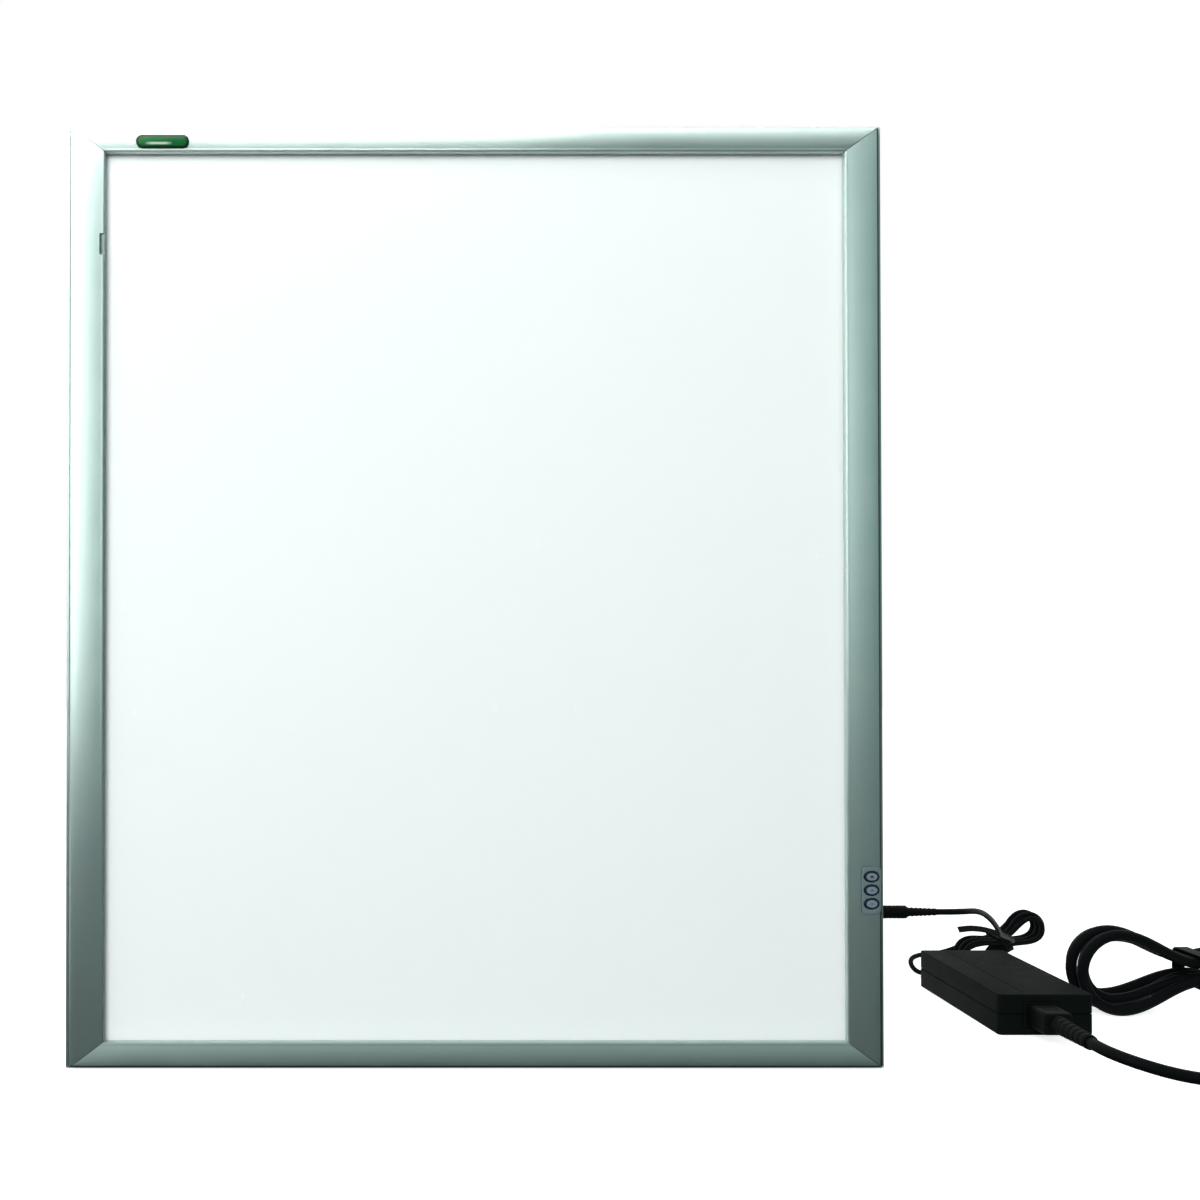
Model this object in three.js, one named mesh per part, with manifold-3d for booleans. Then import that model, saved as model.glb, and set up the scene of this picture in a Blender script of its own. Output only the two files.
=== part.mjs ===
// Slim view box for x-ray films: an aluminium snap frame round an edge-lit light panel, with its
// power adapter and cords. Millimetres, +Z up, the front faces -Y, and the origin is the middle
// of the panel's bottom edge.
import * as THREE from "three";
import { mergeVertices } from "three/addons/utils/BufferGeometryUtils.js";
import Module from "manifold-3d";

const wasm = await Module();
wasm.setup();

// Driving sizes of the panel
const panelWidth = 440;
const panelHeight = 508;
const panelDepth = 20; // from the back to the tops of the buttons
const clearance = 0.3; // between pieces that rest on each other
const sheetGap = 0.2; // between the sheets of the light panel
const mitreGap = 0.3; // between two rails at a corner
const cutOverrun = 2;
const samePlace = 1e-4; // under which two points are one

// Side rails and end rails: insets are measured from the rail's outer face
const sideRail = {
  faceWidth: 20.8,
  wall: 1.2,
  pivotInset: 4.2,
  webInset: 12.4,
  flangeReach: 18.6,
  crownInset: 10,
};
const endRail = {
  faceWidth: 15,
  wall: 0.9,
  pivotInset: 3.6,
  webInset: 9,
  flangeReach: 13.6,
  crownInset: 7.4,
};

// Section of a base rail: heights are measured from the back of the panel
const base = {
  flange: 1.3,
  wallHeight: 12,
  stem: 0.9,
  beadRadius: 0.8,
  pivotHeight: 14,
  web: 1,
  webHeight: 10.8,
  wallHoleRadius: 2.1,
  wallHoleSetback: 74, // of the wall fixing holes from the ends of a side rail
};

// Section of a snap rail, which turns on the base rail's bead
const cover = {
  skin: 1.3,
  hookWall: 0.8,
  hookStart: -58, // degrees, seen along the rail
  hookEnd: 148,
  rootAngle: 60,
  rootHeight: 1.4, // of the skin's outer edge over the hinge line
  crownSag: 0.6, // of the crown under the tops of the buttons
  lipShoulder: 17.8,
  lipRadius: 1.4,
  hookSetback: 6, // of the hook's ends from the mitres
  roundness: 2.4,
  notchDepth: 3.2,
  notchLength: 12,
  notchSetback: 65, // of the lift notch from the top of the left snap rail
};
const faceDegrees = [0, 12, 24, 38, 52, 66, 78, 90]; // round the face from its outer edge
const slopeShares = [0.25, 0.5, 0.75, 1]; // of the way from the crown to the inner shoulder
const hookInner = base.beadRadius + clearance;
const hookOuter = hookInner + cover.hookWall;
const crownHeight = panelDepth - cover.crownSag;

// Sheets of the light panel, from the back
const sheets = {
  backPanel: 1,
  reflector: 0.5,
  lightGuide: 5,
  diffuser: 2,
  clearCover: 1.5,
};
const backPanelLow = base.flange + sheetGap;
const reflectorLow = backPanelLow + sheets.backPanel + sheetGap;
const lightGuideLow = reflectorLow + sheets.reflector + sheetGap;
const diffuserLow = lightGuideLow + sheets.lightGuide + sheetGap;
const clearCoverLow = diffuserLow + sheets.diffuser + sheetGap;
const sheetFront = clearCoverLow + sheets.clearCover;
const lipHeight = sheetFront + clearance;
const sideSheetInset = sideRail.webInset + base.web + clearance;
const endSheetInset = endRail.webInset + base.web + clearance;

// LED strips along the two side edges of the light guide
const led = {
  board: 1,
  boardHeight: 4.8,
  chip: 0.5,
  chipWidth: 2.8,
  chipLength: 3.5,
  chipSink: 0.1,
  chips: 24,
  endSetback: 28,
};
const lightGuideInset = sideSheetInset + led.board + led.chip + clearance;

// Corner keys and their screws
const key = {
  sideInset: 6.2,
  sideWidth: 5,
  endInset: 4.9,
  endWidth: 3,
  sideLength: 35,
  endLength: 32,
  thickness: 2.5,
  screwSetback: 26,
  screwRadius: 1.25,
  holeRadius: 1.6,
  headRadius: 2.3,
  headHeight: 1.6,
};

const screwHeadShare = 0.7; // of the head's radius, left flat on top

// Leaf springs that hold the snap rails shut
const spring = {
  thickness: 0.5,
  length: 24,
  foot: 4.4,
  endFoot: 2.3,
  lean: 0.5,
  tipAngle: -40,
  endSetback: 142, // of the side springs from the ends of their rail
};

// Control keys, their plate and the board behind them
const control = {
  inset: 8.7, // of the buttons' middle line from the right side
  topHeight: 103.8,
  pitch: 7.2,
  halfWidth: 4.1,
  halfHeight: 2.85,
  rim: 0.45,
  rimThickness: 0.6,
  rimLow: 17,
  dome: 0.35,
  plunger: 1.6,
  travel: 0.5,
  stopGap: 0.05, // left between a pressed button and its switch
  holeLow: 16.1,
  plateWidth: 10.8,
  plateHeight: 25.4,
  plateCorner: 2.4,
  plateProud: 0.2,
  plateSink: 0.7,
};
const domeShares = [
  [1, 0],
  [0.88, 0.6],
  [0.6, 0.92],
]; // across the button and up its dome
const board = {
  low: 9.1,
  thickness: 1.2,
  jackMargin: 1, // of the board's low end below the jack
  highEnd: 110,
  edgeInset: 5.4,
  switchSize: 4.4,
  switchHeight: 3.7,
  actuatorRadius: 1.3,
  actuatorHeight: 1.2,
  postRadius: 1.6,
  postHeight: 107.5, // of the post over the panel's bottom edge
};
const plungerLow = board.low + board.thickness + board.switchHeight
  + board.actuatorHeight + control.travel + control.stopGap;

// DC jack, plug and cord
const jack = {
  height: 82.4, // over the panel's bottom edge
  axis: 5.3, // over the back
  halfWidth: 4.4,
  length: 10.1,
  boreRadius: 2.05,
  boreDepth: 9.3,
  pinRadius: 0.5,
  pinLength: 8,
  wallHoleRadius: 2.4,
};
const boardLowEnd = jack.height - jack.halfWidth - board.jackMargin;
const plug = {
  radius: 3.5,
  bodyLength: 14.6,
  reliefLength: 16,
  reliefRoot: 2.5,
  barrelRadius: 1.75,
  barrelBore: 0.85,
  barrelLength: 8.6,
  rounding: 0.7,
};
const dcCordDiameter = 3.2;
const mainsCordDiameter = 6.4;

// Badge on the top rail
const badge = {
  endSetback: 52.3, // of its middle from the left side of the panel
  inset: 10.2,
  length: 28.4,
  width: 6.7,
  proud: 0.25,
  sink: 0.7,
};

const grip = { thickness: 1.2, height: 2.7, length: 380 };
const boardLead = {
  radius: 0.6,
  height: 7.4,
  bend: 3,
  sideInset: 8.8,
  farInset: 6.5, // of the left strip's lead in the right rail
  endInset: 6.9,
  notchLow: 40,
  notchHigh: 45,
  notchFloor: 5.2,
};

// Power adapter, which lies on the table behind and beside the panel
const adapter = {
  left: 309.5,
  front: 61.5,
  width: 55.5,
  length: 120.5,
  height: 23.6,
  split: 12,
  wall: 2,
  corner: 3,
  bevel: 0.8,
  boardThickness: 1.6,
  boardHeight: 5,
  boardMargin: 5,
  postRadius: 3,
  transformerWidth: 24,
  transformerLength: 28,
  transformerHeight: 12,
  coreWidth: 8,
  coreRise: 1.6,
  capacitorRadius: 4.6,
  capacitorLength: 22,
};
const inlet = {
  x: 334,
  z: 12,
  width: 20,
  height: 15,
  depth: 16,
  recess: 10,
  noseWidth: 14,
  noseHeight: 9.6,
  pinRadius: 0.9,
  pinLength: 7,
  pinPitch: 4,
  pinRise: 1.6,
  pinBore: 1.3,
};
const connector = {
  width: 17,
  height: 12.8,
  length: 22,
  corner: 2.4,
  reliefLength: 36,
  reliefRoot: 5.2,
  ribs: 7,
  ribDepth: 0.6,
};
const outlet = {
  x: 337,
  z: 12,
  reliefLength: 16,
  reliefRoot: 3.4,
  ribs: 5,
  ribDepth: 0.4,
  collar: 4.6,
  collarLength: 1.8,
};
const mainsPlug = {
  bodyLength: 36,
  bodyRadius: 12.2,
  neckRadius: 7,
  reliefLength: 20,
  pinRadius: 2.4,
  pinLength: 19,
  pinSpread: 5.6,
  earthDrop: 4.6,
  bridge: 3,
};

// Hanks: a is along the runs, b across them and c through the layers
const dcHank = {
  diameter: dcCordDiameter,
  centre: [365.5, 216, 24.4],
  tilt: 19, // degrees that the right end is raised
  runs: -1, // the first run is the upper one and goes to the right
  up: 1,
  halfRun: 30.5,
  innerRadius: 9.8,
  startStep: 5,
  endStep: 89,
};
const mainsHank = {
  diameter: mainsCordDiameter,
  centre: [446, 104.5, 27.1],
  tilt: 0,
  runs: 1, // the first run is the lower one and goes to the left
  up: -1,
  halfRun: 50,
  innerRadius: 17.5,
  startStep: 0,
  endStep: 88,
};
const hankGapShare = 0.16; // of the diameter, between two turns
const hankWaistShare = 0.65; // of the pitch, from the middle line to a strand at the waist
const tangentStepShare = 0.05; // of a step, over which a hank's direction is taken
const ribShare = 0.6; // of a rib's pitch
const stepsInRun = 7;
const stepsInFold = 5;
const stepsInLoop = 2 * (stepsInRun + stepsInFold);
const hankSides = 6;
const cordSides = 8;
const sweepStepShare = 2.5; // of the diameter
const tie = { dcWidth: 5, mainsWidth: 8, thickness: 1 };

// Routes of the free stretches, as points laid by hand
const dcFrontRoute = [
  [258, 4.7, 82.4],
  [267, 9, 82.6],
  [276, 20, 82],
  [288, 42, 78.5],
  [303, 76, 70.5],
  [318, 106, 62],
  [333, 134, 53],
  [346, 160, 44.5],
  [355, 181, 37],
  [360.5, 196, 32],
  [365, 206, 29.8],
];
const dcTailRoute = [
  [330, 230, 6],
  [323, 229.4, 3.4],
  [316, 225.6, 2],
  [312.6, 219, 1.75],
  [314.6, 212.4, 1.8],
  [321, 208.6, 3],
  [329, 208.4, 6.6],
  [335, 207, 10.4],
  [337, 203, 11.9],
];
const mainsFrontRoute = [
  [334, -6, 12],
  [336.5, -17, 11.4],
  [344, -28, 9.8],
  [357, -36, 7.2],
  [374, -40, 5],
  [395, -40, 3.6],
  [420, -35, 3.3],
  [452, -23, 3.3],
  [486, -4, 3.3],
  [514, 18, 3.3],
  [532, 44, 3.3],
  [536, 70, 3.3],
  [527, 89, 3.3],
];
const mainsTailRoute = [
  [480, 130.6, 30],
  [494, 135, 23],
  [507, 138.4, 16.8],
  [519, 139.6, 12.6],
];
const mainsPlugStart = [528, 139.6, 12.3];

// Colours and finishes
const finishes = {
  aluminium: new THREE.MeshStandardMaterial({ color: 0x9fb0ab, roughness: 0.38, metalness: 0.9 }),
  steel: new THREE.MeshStandardMaterial({ color: 0x8d9296, roughness: 0.35, metalness: 1 }),
  backPanel: new THREE.MeshStandardMaterial({ color: 0xb9bdbd, roughness: 0.5, metalness: 0.6 }),
  white: new THREE.MeshStandardMaterial({ color: 0xf4f6f5, roughness: 0.5, metalness: 0 }),
  diffuser: new THREE.MeshStandardMaterial({ color: 0xfafcfb, roughness: 0.4, metalness: 0 }),
  clear: new THREE.MeshStandardMaterial({ color: 0xeef4f2, roughness: 0.1, metalness: 0 }),
  board: new THREE.MeshStandardMaterial({ color: 0x1f5a38, roughness: 0.5, metalness: 0 }),
  label: new THREE.MeshStandardMaterial({ color: 0x5c6a72, roughness: 0.45, metalness: 0.1 }),
  button: new THREE.MeshStandardMaterial({ color: 0x8a97a0, roughness: 0.4, metalness: 0 }),
  badge: new THREE.MeshStandardMaterial({ color: 0x2f8f52, roughness: 0.3, metalness: 0 }),
  black: new THREE.MeshStandardMaterial({ color: 0x131615, roughness: 0.45, metalness: 0 }),
  cord: new THREE.MeshStandardMaterial({ color: 0x101211, roughness: 0.35, metalness: 0 }),
  copper: new THREE.MeshStandardMaterial({ color: 0xb07a4a, roughness: 0.4, metalness: 0.9 }),
};

// Solids and shapes
function solidOf(geometry) {
  const bare = geometry.index ? geometry.toNonIndexed() : geometry.clone();
  bare.deleteAttribute("normal");
  bare.deleteAttribute("uv");
  const merged = mergeVertices(bare, samePlace);
  return new wasm.Manifold(
    new wasm.Mesh({
      numProp: 3,
      vertProperties: merged.getAttribute("position").array,
      triVerts: new Uint32Array(merged.index.array),
    }),
  );
}

function geometryOf(solid) {
  const mesh = solid.getMesh();
  const geometry = new THREE.BufferGeometry();
  geometry.setAttribute("position", new THREE.BufferAttribute(mesh.vertProperties, 3));
  geometry.setIndex(new THREE.BufferAttribute(mesh.triVerts, 1));
  const flat = geometry.toNonIndexed();
  flat.computeVertexNormals();
  return flat;
}

function addPiece(parent, name, solid, material) {
  const mesh = new THREE.Mesh(geometryOf(solid), material);
  mesh.name = name;
  parent.add(mesh);
  return mesh;
}

function block([lowX, lowY, lowZ], [highX, highY, highZ]) {
  const box = new THREE.BoxGeometry(highX - lowX, highY - lowY, highZ - lowZ);
  box.translate((lowX + highX) / 2, (lowY + highY) / 2, (lowZ + highZ) / 2);
  return solidOf(box);
}

function shapeOf(outline) {
  const points = outline.map(([x, y]) => new THREE.Vector2(x, y));
  const apart = points.filter((point, i) => point.distanceTo(points.at(i - 1)) > samePlace);
  return new THREE.Shape(apart);
}

function arc([x, y], radius, fromDegrees, toDegrees, steps) {
  const points = [];
  for (let step = 0; step <= steps; step++) {
    const angle = THREE.MathUtils.degToRad(fromDegrees + ((toDegrees - fromDegrees) * step) / steps);
    points.push([x + radius * Math.cos(angle), y + radius * Math.sin(angle)]);
  }
  return points;
}

function roundedOutline(width, height, corner, steps = 4) {
  const x = width / 2 - corner;
  const y = height / 2 - corner;
  return [
    ...arc([x, -y], corner, -90, 0, steps),
    ...arc([x, y], corner, 0, 90, steps),
    ...arc([-x, y], corner, 90, 180, steps),
    ...arc([-x, -y], corner, 180, 270, steps),
  ];
}

function prism(outline, low, high) {
  const geometry = new THREE.ExtrudeGeometry(shapeOf(outline), {
    depth: high - low,
    bevelEnabled: false,
  });
  return solidOf(geometry.translate(0, 0, low));
}

// A turned solid on the Y axis; the profile is a list of [radius, height] from the axis to the axis
function turned(profile, sides) {
  const points = profile.map(([radius, height]) => new THREE.Vector2(radius, height));
  return new THREE.LatheGeometry(points, sides);
}

// The line moved sideways by a distance, to its left as it runs
function offsetLine(line, distance) {
  return line.map(([x, y], i) => {
    const [beforeX, beforeY] = line[Math.max(i - 1, 0)];
    const [afterX, afterY] = line[Math.min(i + 1, line.length - 1)];
    const firstLength = Math.hypot(x - beforeX, y - beforeY) || 1;
    const nextLength = Math.hypot(afterX - x, afterY - y) || 1;
    const directionX = (x - beforeX) / firstLength + (afterX - x) / nextLength;
    const directionY = (y - beforeY) / firstLength + (afterY - y) / nextLength;
    const length = Math.hypot(directionX, directionY);
    return [x - (distance * directionY) / length, y + (distance * directionX) / length];
  });
}

// Rails: in a rail's own frame x is the inset, y the height over the back and z the way along it
const back = panelDepth / 2;
const forward = new THREE.Vector3(0, -1, 0);
const endMitre = sideRail.faceWidth / endRail.faceWidth;
const rails = {
  left: { kind: sideRail, length: panelHeight, mitre: 1 / endMitre, springs: 2 },
  right: { kind: sideRail, length: panelHeight, mitre: 1 / endMitre, springs: 2 },
  top: { kind: endRail, length: panelWidth, mitre: endMitre, springs: 1 },
  bottom: { kind: endRail, length: panelWidth, mitre: endMitre, springs: 1 },
};
const frames = {
  left: { inward: [1, 0, 0], origin: [-panelWidth / 2, back, panelHeight / 2] },
  right: { inward: [-1, 0, 0], origin: [panelWidth / 2, back, panelHeight / 2] },
  top: { inward: [0, 0, -1], origin: [0, back, panelHeight] },
  bottom: { inward: [0, 0, 1], origin: [0, back, 0] },
};

function railGroup(side) {
  const inward = new THREE.Vector3(...frames[side].inward);
  const along = new THREE.Vector3().crossVectors(inward, forward);
  const group = new THREE.Group();
  group.setRotationFromMatrix(new THREE.Matrix4().makeBasis(inward, forward, along));
  group.position.set(...frames[side].origin);
  return group;
}

// A prism along a rail, its ends cut to the mitre or, without one, square
function railPrism(outline, halfLength, mitre) {
  const geometry = new THREE.ExtrudeGeometry(shapeOf(outline), { depth: 1, bevelEnabled: false });
  const position = geometry.getAttribute("position");
  for (let i = 0; i < position.count; i++) {
    const reach = halfLength - mitre * position.getX(i);
    position.setZ(i, position.getZ(i) > 0.5 ? reach : -reach);
  }
  return solidOf(geometry);
}

function mitredHalf({ length, mitre }) {
  return length / 2 - (mitreGap / 2) * Math.hypot(1, mitre);
}

function baseOutline(kind) {
  const halfStem = base.stem / 2;
  const { pivotInset, webInset, wall, flangeReach } = kind;
  const neck = THREE.MathUtils.radToDeg(Math.asin(halfStem / base.beadRadius));
  return [
    [0, 0],
    [flangeReach, 0],
    [flangeReach, base.flange],
    [webInset + base.web, base.flange],
    [webInset + base.web, base.webHeight],
    [webInset, base.webHeight],
    [webInset, base.flange],
    [pivotInset + halfStem, base.flange],
    ...arc([pivotInset, base.pivotHeight], base.beadRadius, neck - 90, 270 - neck, 10),
    [pivotInset - halfStem, base.flange],
    [wall, base.flange],
    [wall, base.wallHeight],
    [0, base.wallHeight],
  ];
}

// The snap rail's outer face, from its outer edge over the crown to the foot of its inner lip
function coverFace(kind) {
  const face = [];
  const edgeInset = kind.pivotInset - hookOuter;
  const edgeHeight = base.pivotHeight + cover.rootHeight;
  const power = 2 / cover.roundness;
  for (const degrees of faceDegrees) {
    const angle = THREE.MathUtils.degToRad(degrees);
    const across = Math.max(Math.cos(angle), 0) ** power;
    face.push([
      kind.crownInset - (kind.crownInset - edgeInset) * across,
      edgeHeight + (crownHeight - edgeHeight) * Math.sin(angle) ** power,
    ]);
  }
  const shoulder = kind.faceWidth - cover.lipRadius;
  for (const share of slopeShares) {
    const inset = kind.crownInset + (shoulder - kind.crownInset) * share;
    face.push([inset, crownHeight - (crownHeight - cover.lipShoulder) * share ** 2]);
  }
  const lipCentre = [shoulder, cover.lipShoulder - cover.lipRadius];
  face.push(...arc(lipCentre, cover.lipRadius, 60, 0, 2));
  face.push([kind.faceWidth, lipHeight]);
  return face;
}

function coverSkin(kind) {
  const face = coverFace(kind);
  return [...face, ...offsetLine(face, -cover.skin).reverse()];
}

function hookOutline(kind) {
  const pivot = [kind.pivotInset, base.pivotHeight];
  const middle = offsetLine(coverFace(kind), -cover.skin / 2);
  const rootReach = kind.pivotInset + hookOuter;
  const root = middle.filter(([inset]) => inset < rootReach).reverse();
  return [
    ...arc(pivot, hookInner, cover.hookEnd, cover.hookStart, 12),
    ...arc(pivot, hookOuter, cover.hookStart, cover.rootAngle, 8),
    ...root,
    ...arc(pivot, hookOuter, cover.hookEnd, cover.hookEnd, 1).slice(1),
  ];
}

// A sheet that follows the snap rail's outer face, between two distances from it
function faceBand(kind, above, below, halfLength) {
  const face = coverFace(kind);
  const outline = [...offsetLine(face, above), ...offsetLine(face, below).reverse()];
  return railPrism(outline, halfLength, 0);
}

// A flat outline in inset and length, pushed through the rail from its back to its front
function throughRail(outline, inset, along, low, high) {
  const geometry = new THREE.ExtrudeGeometry(shapeOf(outline), {
    depth: high - low,
    bevelEnabled: false,
  });
  geometry.rotateX(Math.PI / 2);
  geometry.translate(inset, high, along);
  return solidOf(geometry);
}

function ovalOutline(halfWidth, halfHeight, steps = 24) {
  return arc([0, 0], 1, 0, 360 - 360 / steps, steps - 1).map(([x, y]) => [
    x * halfWidth,
    y * halfHeight,
  ]);
}

function roundHole(radius, inset, along, low, high) {
  return throughRail(ovalOutline(radius, radius, 14), inset, along, low, high);
}

const highAbove = panelDepth + cutOverrun;
const rightAlong = (height) => height - panelHeight / 2;
const leftAlong = (height) => panelHeight / 2 - height;
const buttonHeights = [0, 1, 2].map((index) => control.topHeight - index * control.pitch);
const plateMiddle = rightAlong(control.topHeight - control.pitch);

function buttonHole(height) {
  const hole = ovalOutline(control.halfWidth + clearance, control.halfHeight + clearance);
  return throughRail(hole, control.inset, rightAlong(height), control.holeLow, highAbove);
}

// Base rails: outer wall, hinge bead on its stem, web and back flange in one section
function baseRail(side) {
  const rail = rails[side];
  let solid = railPrism(baseOutline(rail.kind), mitredHalf(rail), rail.mitre);
  if (rail.kind === sideRail) {
    const middle = (sideRail.pivotInset + sideRail.webInset) / 2;
    for (const sign of [-1, 1]) {
      const along = sign * (panelHeight / 2 - base.wallHoleSetback);
      const hole = roundHole(base.wallHoleRadius, middle, along, -cutOverrun, base.flange + cutOverrun);
      solid = solid.subtract(hole);
      const keyScrew = sign * (panelHeight / 2 - key.screwSetback);
      const keyInset = key.sideInset + key.sideWidth / 2;
      solid = solid.subtract(
        roundHole(key.holeRadius, keyInset, keyScrew, -cutOverrun, base.flange + cutOverrun),
      );
    }
    const along = side === "left" ? leftAlong : rightAlong;
    const notch = [along(boardLead.notchLow), along(boardLead.notchHigh)].sort((a, b) => a - b);
    solid = solid.subtract(
      block(
        [sideRail.webInset - clearance, boardLead.notchFloor, notch[0]],
        [sideRail.webInset + base.web + clearance, base.webHeight + cutOverrun, notch[1]],
      ),
    );
  }
  if (side === "right") solid = withControlSeat(solid);
  return solid;
}

// The right base rail's hole and window for the DC jack, and the post under the control board
function withControlSeat(solid) {
  const along = rightAlong(jack.height);
  const bore = new THREE.CylinderGeometry(
    jack.wallHoleRadius,
    jack.wallHoleRadius,
    sideRail.wall + 2 * cutOverrun,
    16,
  );
  bore.rotateZ(Math.PI / 2);
  bore.translate(sideRail.wall / 2 - cutOverrun / 2, jack.axis, along);
  const halfStem = base.stem / 2 + clearance;
  const window = block(
    [sideRail.pivotInset - halfStem, base.flange, along - jack.halfWidth - clearance],
    [sideRail.pivotInset + halfStem, board.low, along + jack.halfWidth + clearance],
  );
  const post = roundHole(
    board.postRadius,
    control.inset,
    rightAlong(board.postHeight),
    base.flange / 2,
    board.low - clearance,
  );
  return solid.subtract(solidOf(bore)).subtract(window).add(post);
}

function snapRail(side) {
  const rail = rails[side];
  const skin = railPrism(coverSkin(rail.kind), mitredHalf(rail), rail.mitre);
  const hookHalf = rail.length / 2 - rail.mitre * rail.kind.pivotInset - cover.hookSetback;
  let solid = skin.add(railPrism(hookOutline(rail.kind), hookHalf, 0));
  if (side === "right") {
    solid = solid.subtract(facePlate(sideRail, plateSeat));
    for (const height of buttonHeights) solid = solid.subtract(buttonHole(height));
  }
  if (side === "top") solid = solid.subtract(facePlate(endRail, badgeSeat));
  if (side === "left") {
    const along = leftAlong(panelHeight - cover.notchSetback);
    const half = cover.notchLength / 2;
    const low = [sideRail.faceWidth - cover.notchDepth, lipHeight + cover.skin, along - half];
    const high = [sideRail.faceWidth + cutOverrun, highAbove, along + half];
    solid = solid.subtract(block(low, high));
  }
  return solid;
}

// A thin plate let into the snap rail's face, or the seat cut for it
function facePlate(kind, { outline, inset, along, above, below }) {
  const half = Math.max(...outline.map(([, y]) => Math.abs(y))) + cutOverrun;
  const band = faceBand(kind, above, -below, half);
  const moved = band.translate(0, 0, along);
  return moved.intersect(throughRail(outline, inset, along, lipHeight, highAbove + cutOverrun));
}

const plateInset = control.inset;
const controlPlate = {
  outline: roundedOutline(control.plateWidth, control.plateHeight, control.plateCorner),
  inset: plateInset,
  along: plateMiddle,
  above: control.plateProud,
  below: control.plateSink - clearance,
};
const plateSeat = {
  outline: roundedOutline(
    control.plateWidth + 2 * clearance,
    control.plateHeight + 2 * clearance,
    control.plateCorner + clearance,
  ),
  inset: plateInset,
  along: plateMiddle,
  above: cutOverrun,
  below: control.plateSink,
};
const badgeAlong = panelWidth / 2 - badge.endSetback;
const badgePlate = {
  outline: roundedOutline(badge.width, badge.length, badge.width / 2, 6),
  inset: badge.inset,
  along: badgeAlong,
  above: badge.proud,
  below: badge.sink - clearance,
};
const badgeSeat = {
  outline: roundedOutline(
    badge.width + 2 * clearance,
    badge.length + 2 * clearance,
    badge.width / 2 + clearance,
    6,
  ),
  inset: badge.inset,
  along: badgeAlong,
  above: cutOverrun,
  below: badge.sink,
};

function controlPlateSolid() {
  let solid = facePlate(sideRail, controlPlate);
  for (const height of buttonHeights) solid = solid.subtract(buttonHole(height));
  return solid;
}

// A button: oval cap with a low dome, a rim under the snap rail's skin and a plunger
function buttonSolid(height) {
  const along = rightAlong(height);
  const rimHigh = control.rimLow + control.rimThickness;
  const domeLow = panelDepth - control.dome;
  const dome = turned(
    [
      [0, control.rimLow],
      [1, control.rimLow],
      ...domeShares.map(([across, rise]) => [across, domeLow + rise * control.dome]),
      [0, panelDepth],
    ],
    24,
  );
  dome.scale(control.halfWidth, 1, control.halfHeight);
  dome.translate(control.inset, 0, along);
  const rim = ovalOutline(control.halfWidth, control.halfHeight + control.rim);
  const plunger = roundHole(control.plunger, control.inset, along, plungerLow, rimHigh);
  return solidOf(dome)
    .add(throughRail(rim, control.inset, along, control.rimLow, rimHigh))
    .add(plunger);
}

// Control board with its three key switches, in the right base rail
function controlBoardSolid() {
  const top = board.low + board.thickness;
  let solid = block(
    [board.edgeInset, board.low, rightAlong(boardLowEnd)],
    [sideRail.webInset - clearance, top, rightAlong(board.highEnd)],
  );
  const half = board.switchSize / 2;
  for (const height of buttonHeights) {
    const along = rightAlong(height);
    const switchTop = top + board.switchHeight;
    solid = solid.add(
      block(
        [control.inset - half, board.low + board.thickness / 2, along - half],
        [control.inset + half, switchTop, along + half],
      ),
    );
    const highest = switchTop + board.actuatorHeight;
    solid = solid.add(roundHole(board.actuatorRadius, control.inset, along, top, highest));
  }
  return solid;
}

function alongInset(geometry, start, height, along) {
  geometry.rotateZ(-Math.PI / 2);
  geometry.translate(start, height, along);
  return solidOf(geometry);
}

// DC jack: its mouth faces out of the right side, and a pin stands in its bore
function jackSolid() {
  const along = rightAlong(jack.height);
  const start = sideRail.wall + clearance;
  const body = block(
    [start, base.flange + clearance, along - jack.halfWidth],
    [start + jack.length, board.low - clearance, along + jack.halfWidth],
  );
  const bore = turned(
    [
      [0, -cutOverrun],
      [jack.boreRadius, -cutOverrun],
      [jack.boreRadius, jack.boreDepth],
      [0, jack.boreDepth],
    ],
    16,
  );
  const pinStart = jack.boreDepth - jack.pinLength;
  const pin = turned(
    [
      [0, pinStart],
      [jack.pinRadius, pinStart + jack.pinRadius],
      [jack.pinRadius, jack.boreDepth + clearance],
      [0, jack.boreDepth + clearance],
    ],
    10,
  );
  return body
    .subtract(alongInset(bore, start, jack.axis, along))
    .add(alongInset(pin, start, jack.axis, along));
}

// LED strip on the web's inner face
function ledStripSolid() {
  const half = panelHeight / 2 - led.endSetback;
  const low = lightGuideLow + (sheets.lightGuide - led.boardHeight) / 2;
  const inner = sideSheetInset + led.board;
  let solid = block([sideSheetInset, low, -half], [inner, low + led.boardHeight, half]);
  const middle = low + led.boardHeight / 2;
  const pitch = (2 * half) / led.chips;
  for (let chip = 0; chip < led.chips; chip++) {
    const along = -half + pitch * (chip + 0.5);
    solid = solid.add(
      block(
        [inner - led.chipSink, middle - led.chipWidth / 2, along - led.chipLength / 2],
        [inner + led.chip, middle + led.chipWidth / 2, along + led.chipLength / 2],
      ),
    );
  }
  return solid;
}

// Leaf spring: its foot lies on the flange and its tip bears on the snap rail's hook
function springSolid(kind, along) {
  const foot = kind === sideRail ? spring.foot : spring.endFoot;
  const reach = hookOuter + clearance + spring.thickness / 2;
  const tip = THREE.MathUtils.degToRad(spring.tipAngle);
  const footHeight = base.flange + clearance + spring.thickness / 2;
  const tipInset = kind.pivotInset + reach * Math.cos(tip);
  const tipHeight = base.pivotHeight + reach * Math.sin(tip);
  const line = [
    [tipInset + spring.lean + foot, footHeight],
    [tipInset + spring.lean + spring.thickness, footHeight],
    [tipInset + spring.lean, footHeight + spring.thickness],
    [tipInset, tipHeight],
  ];
  const half = spring.thickness / 2;
  const outline = [...offsetLine(line, half), ...offsetLine(line, -half).reverse()];
  return railPrism(outline, spring.length / 2, 0).translate(0, 0, along);
}

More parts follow.
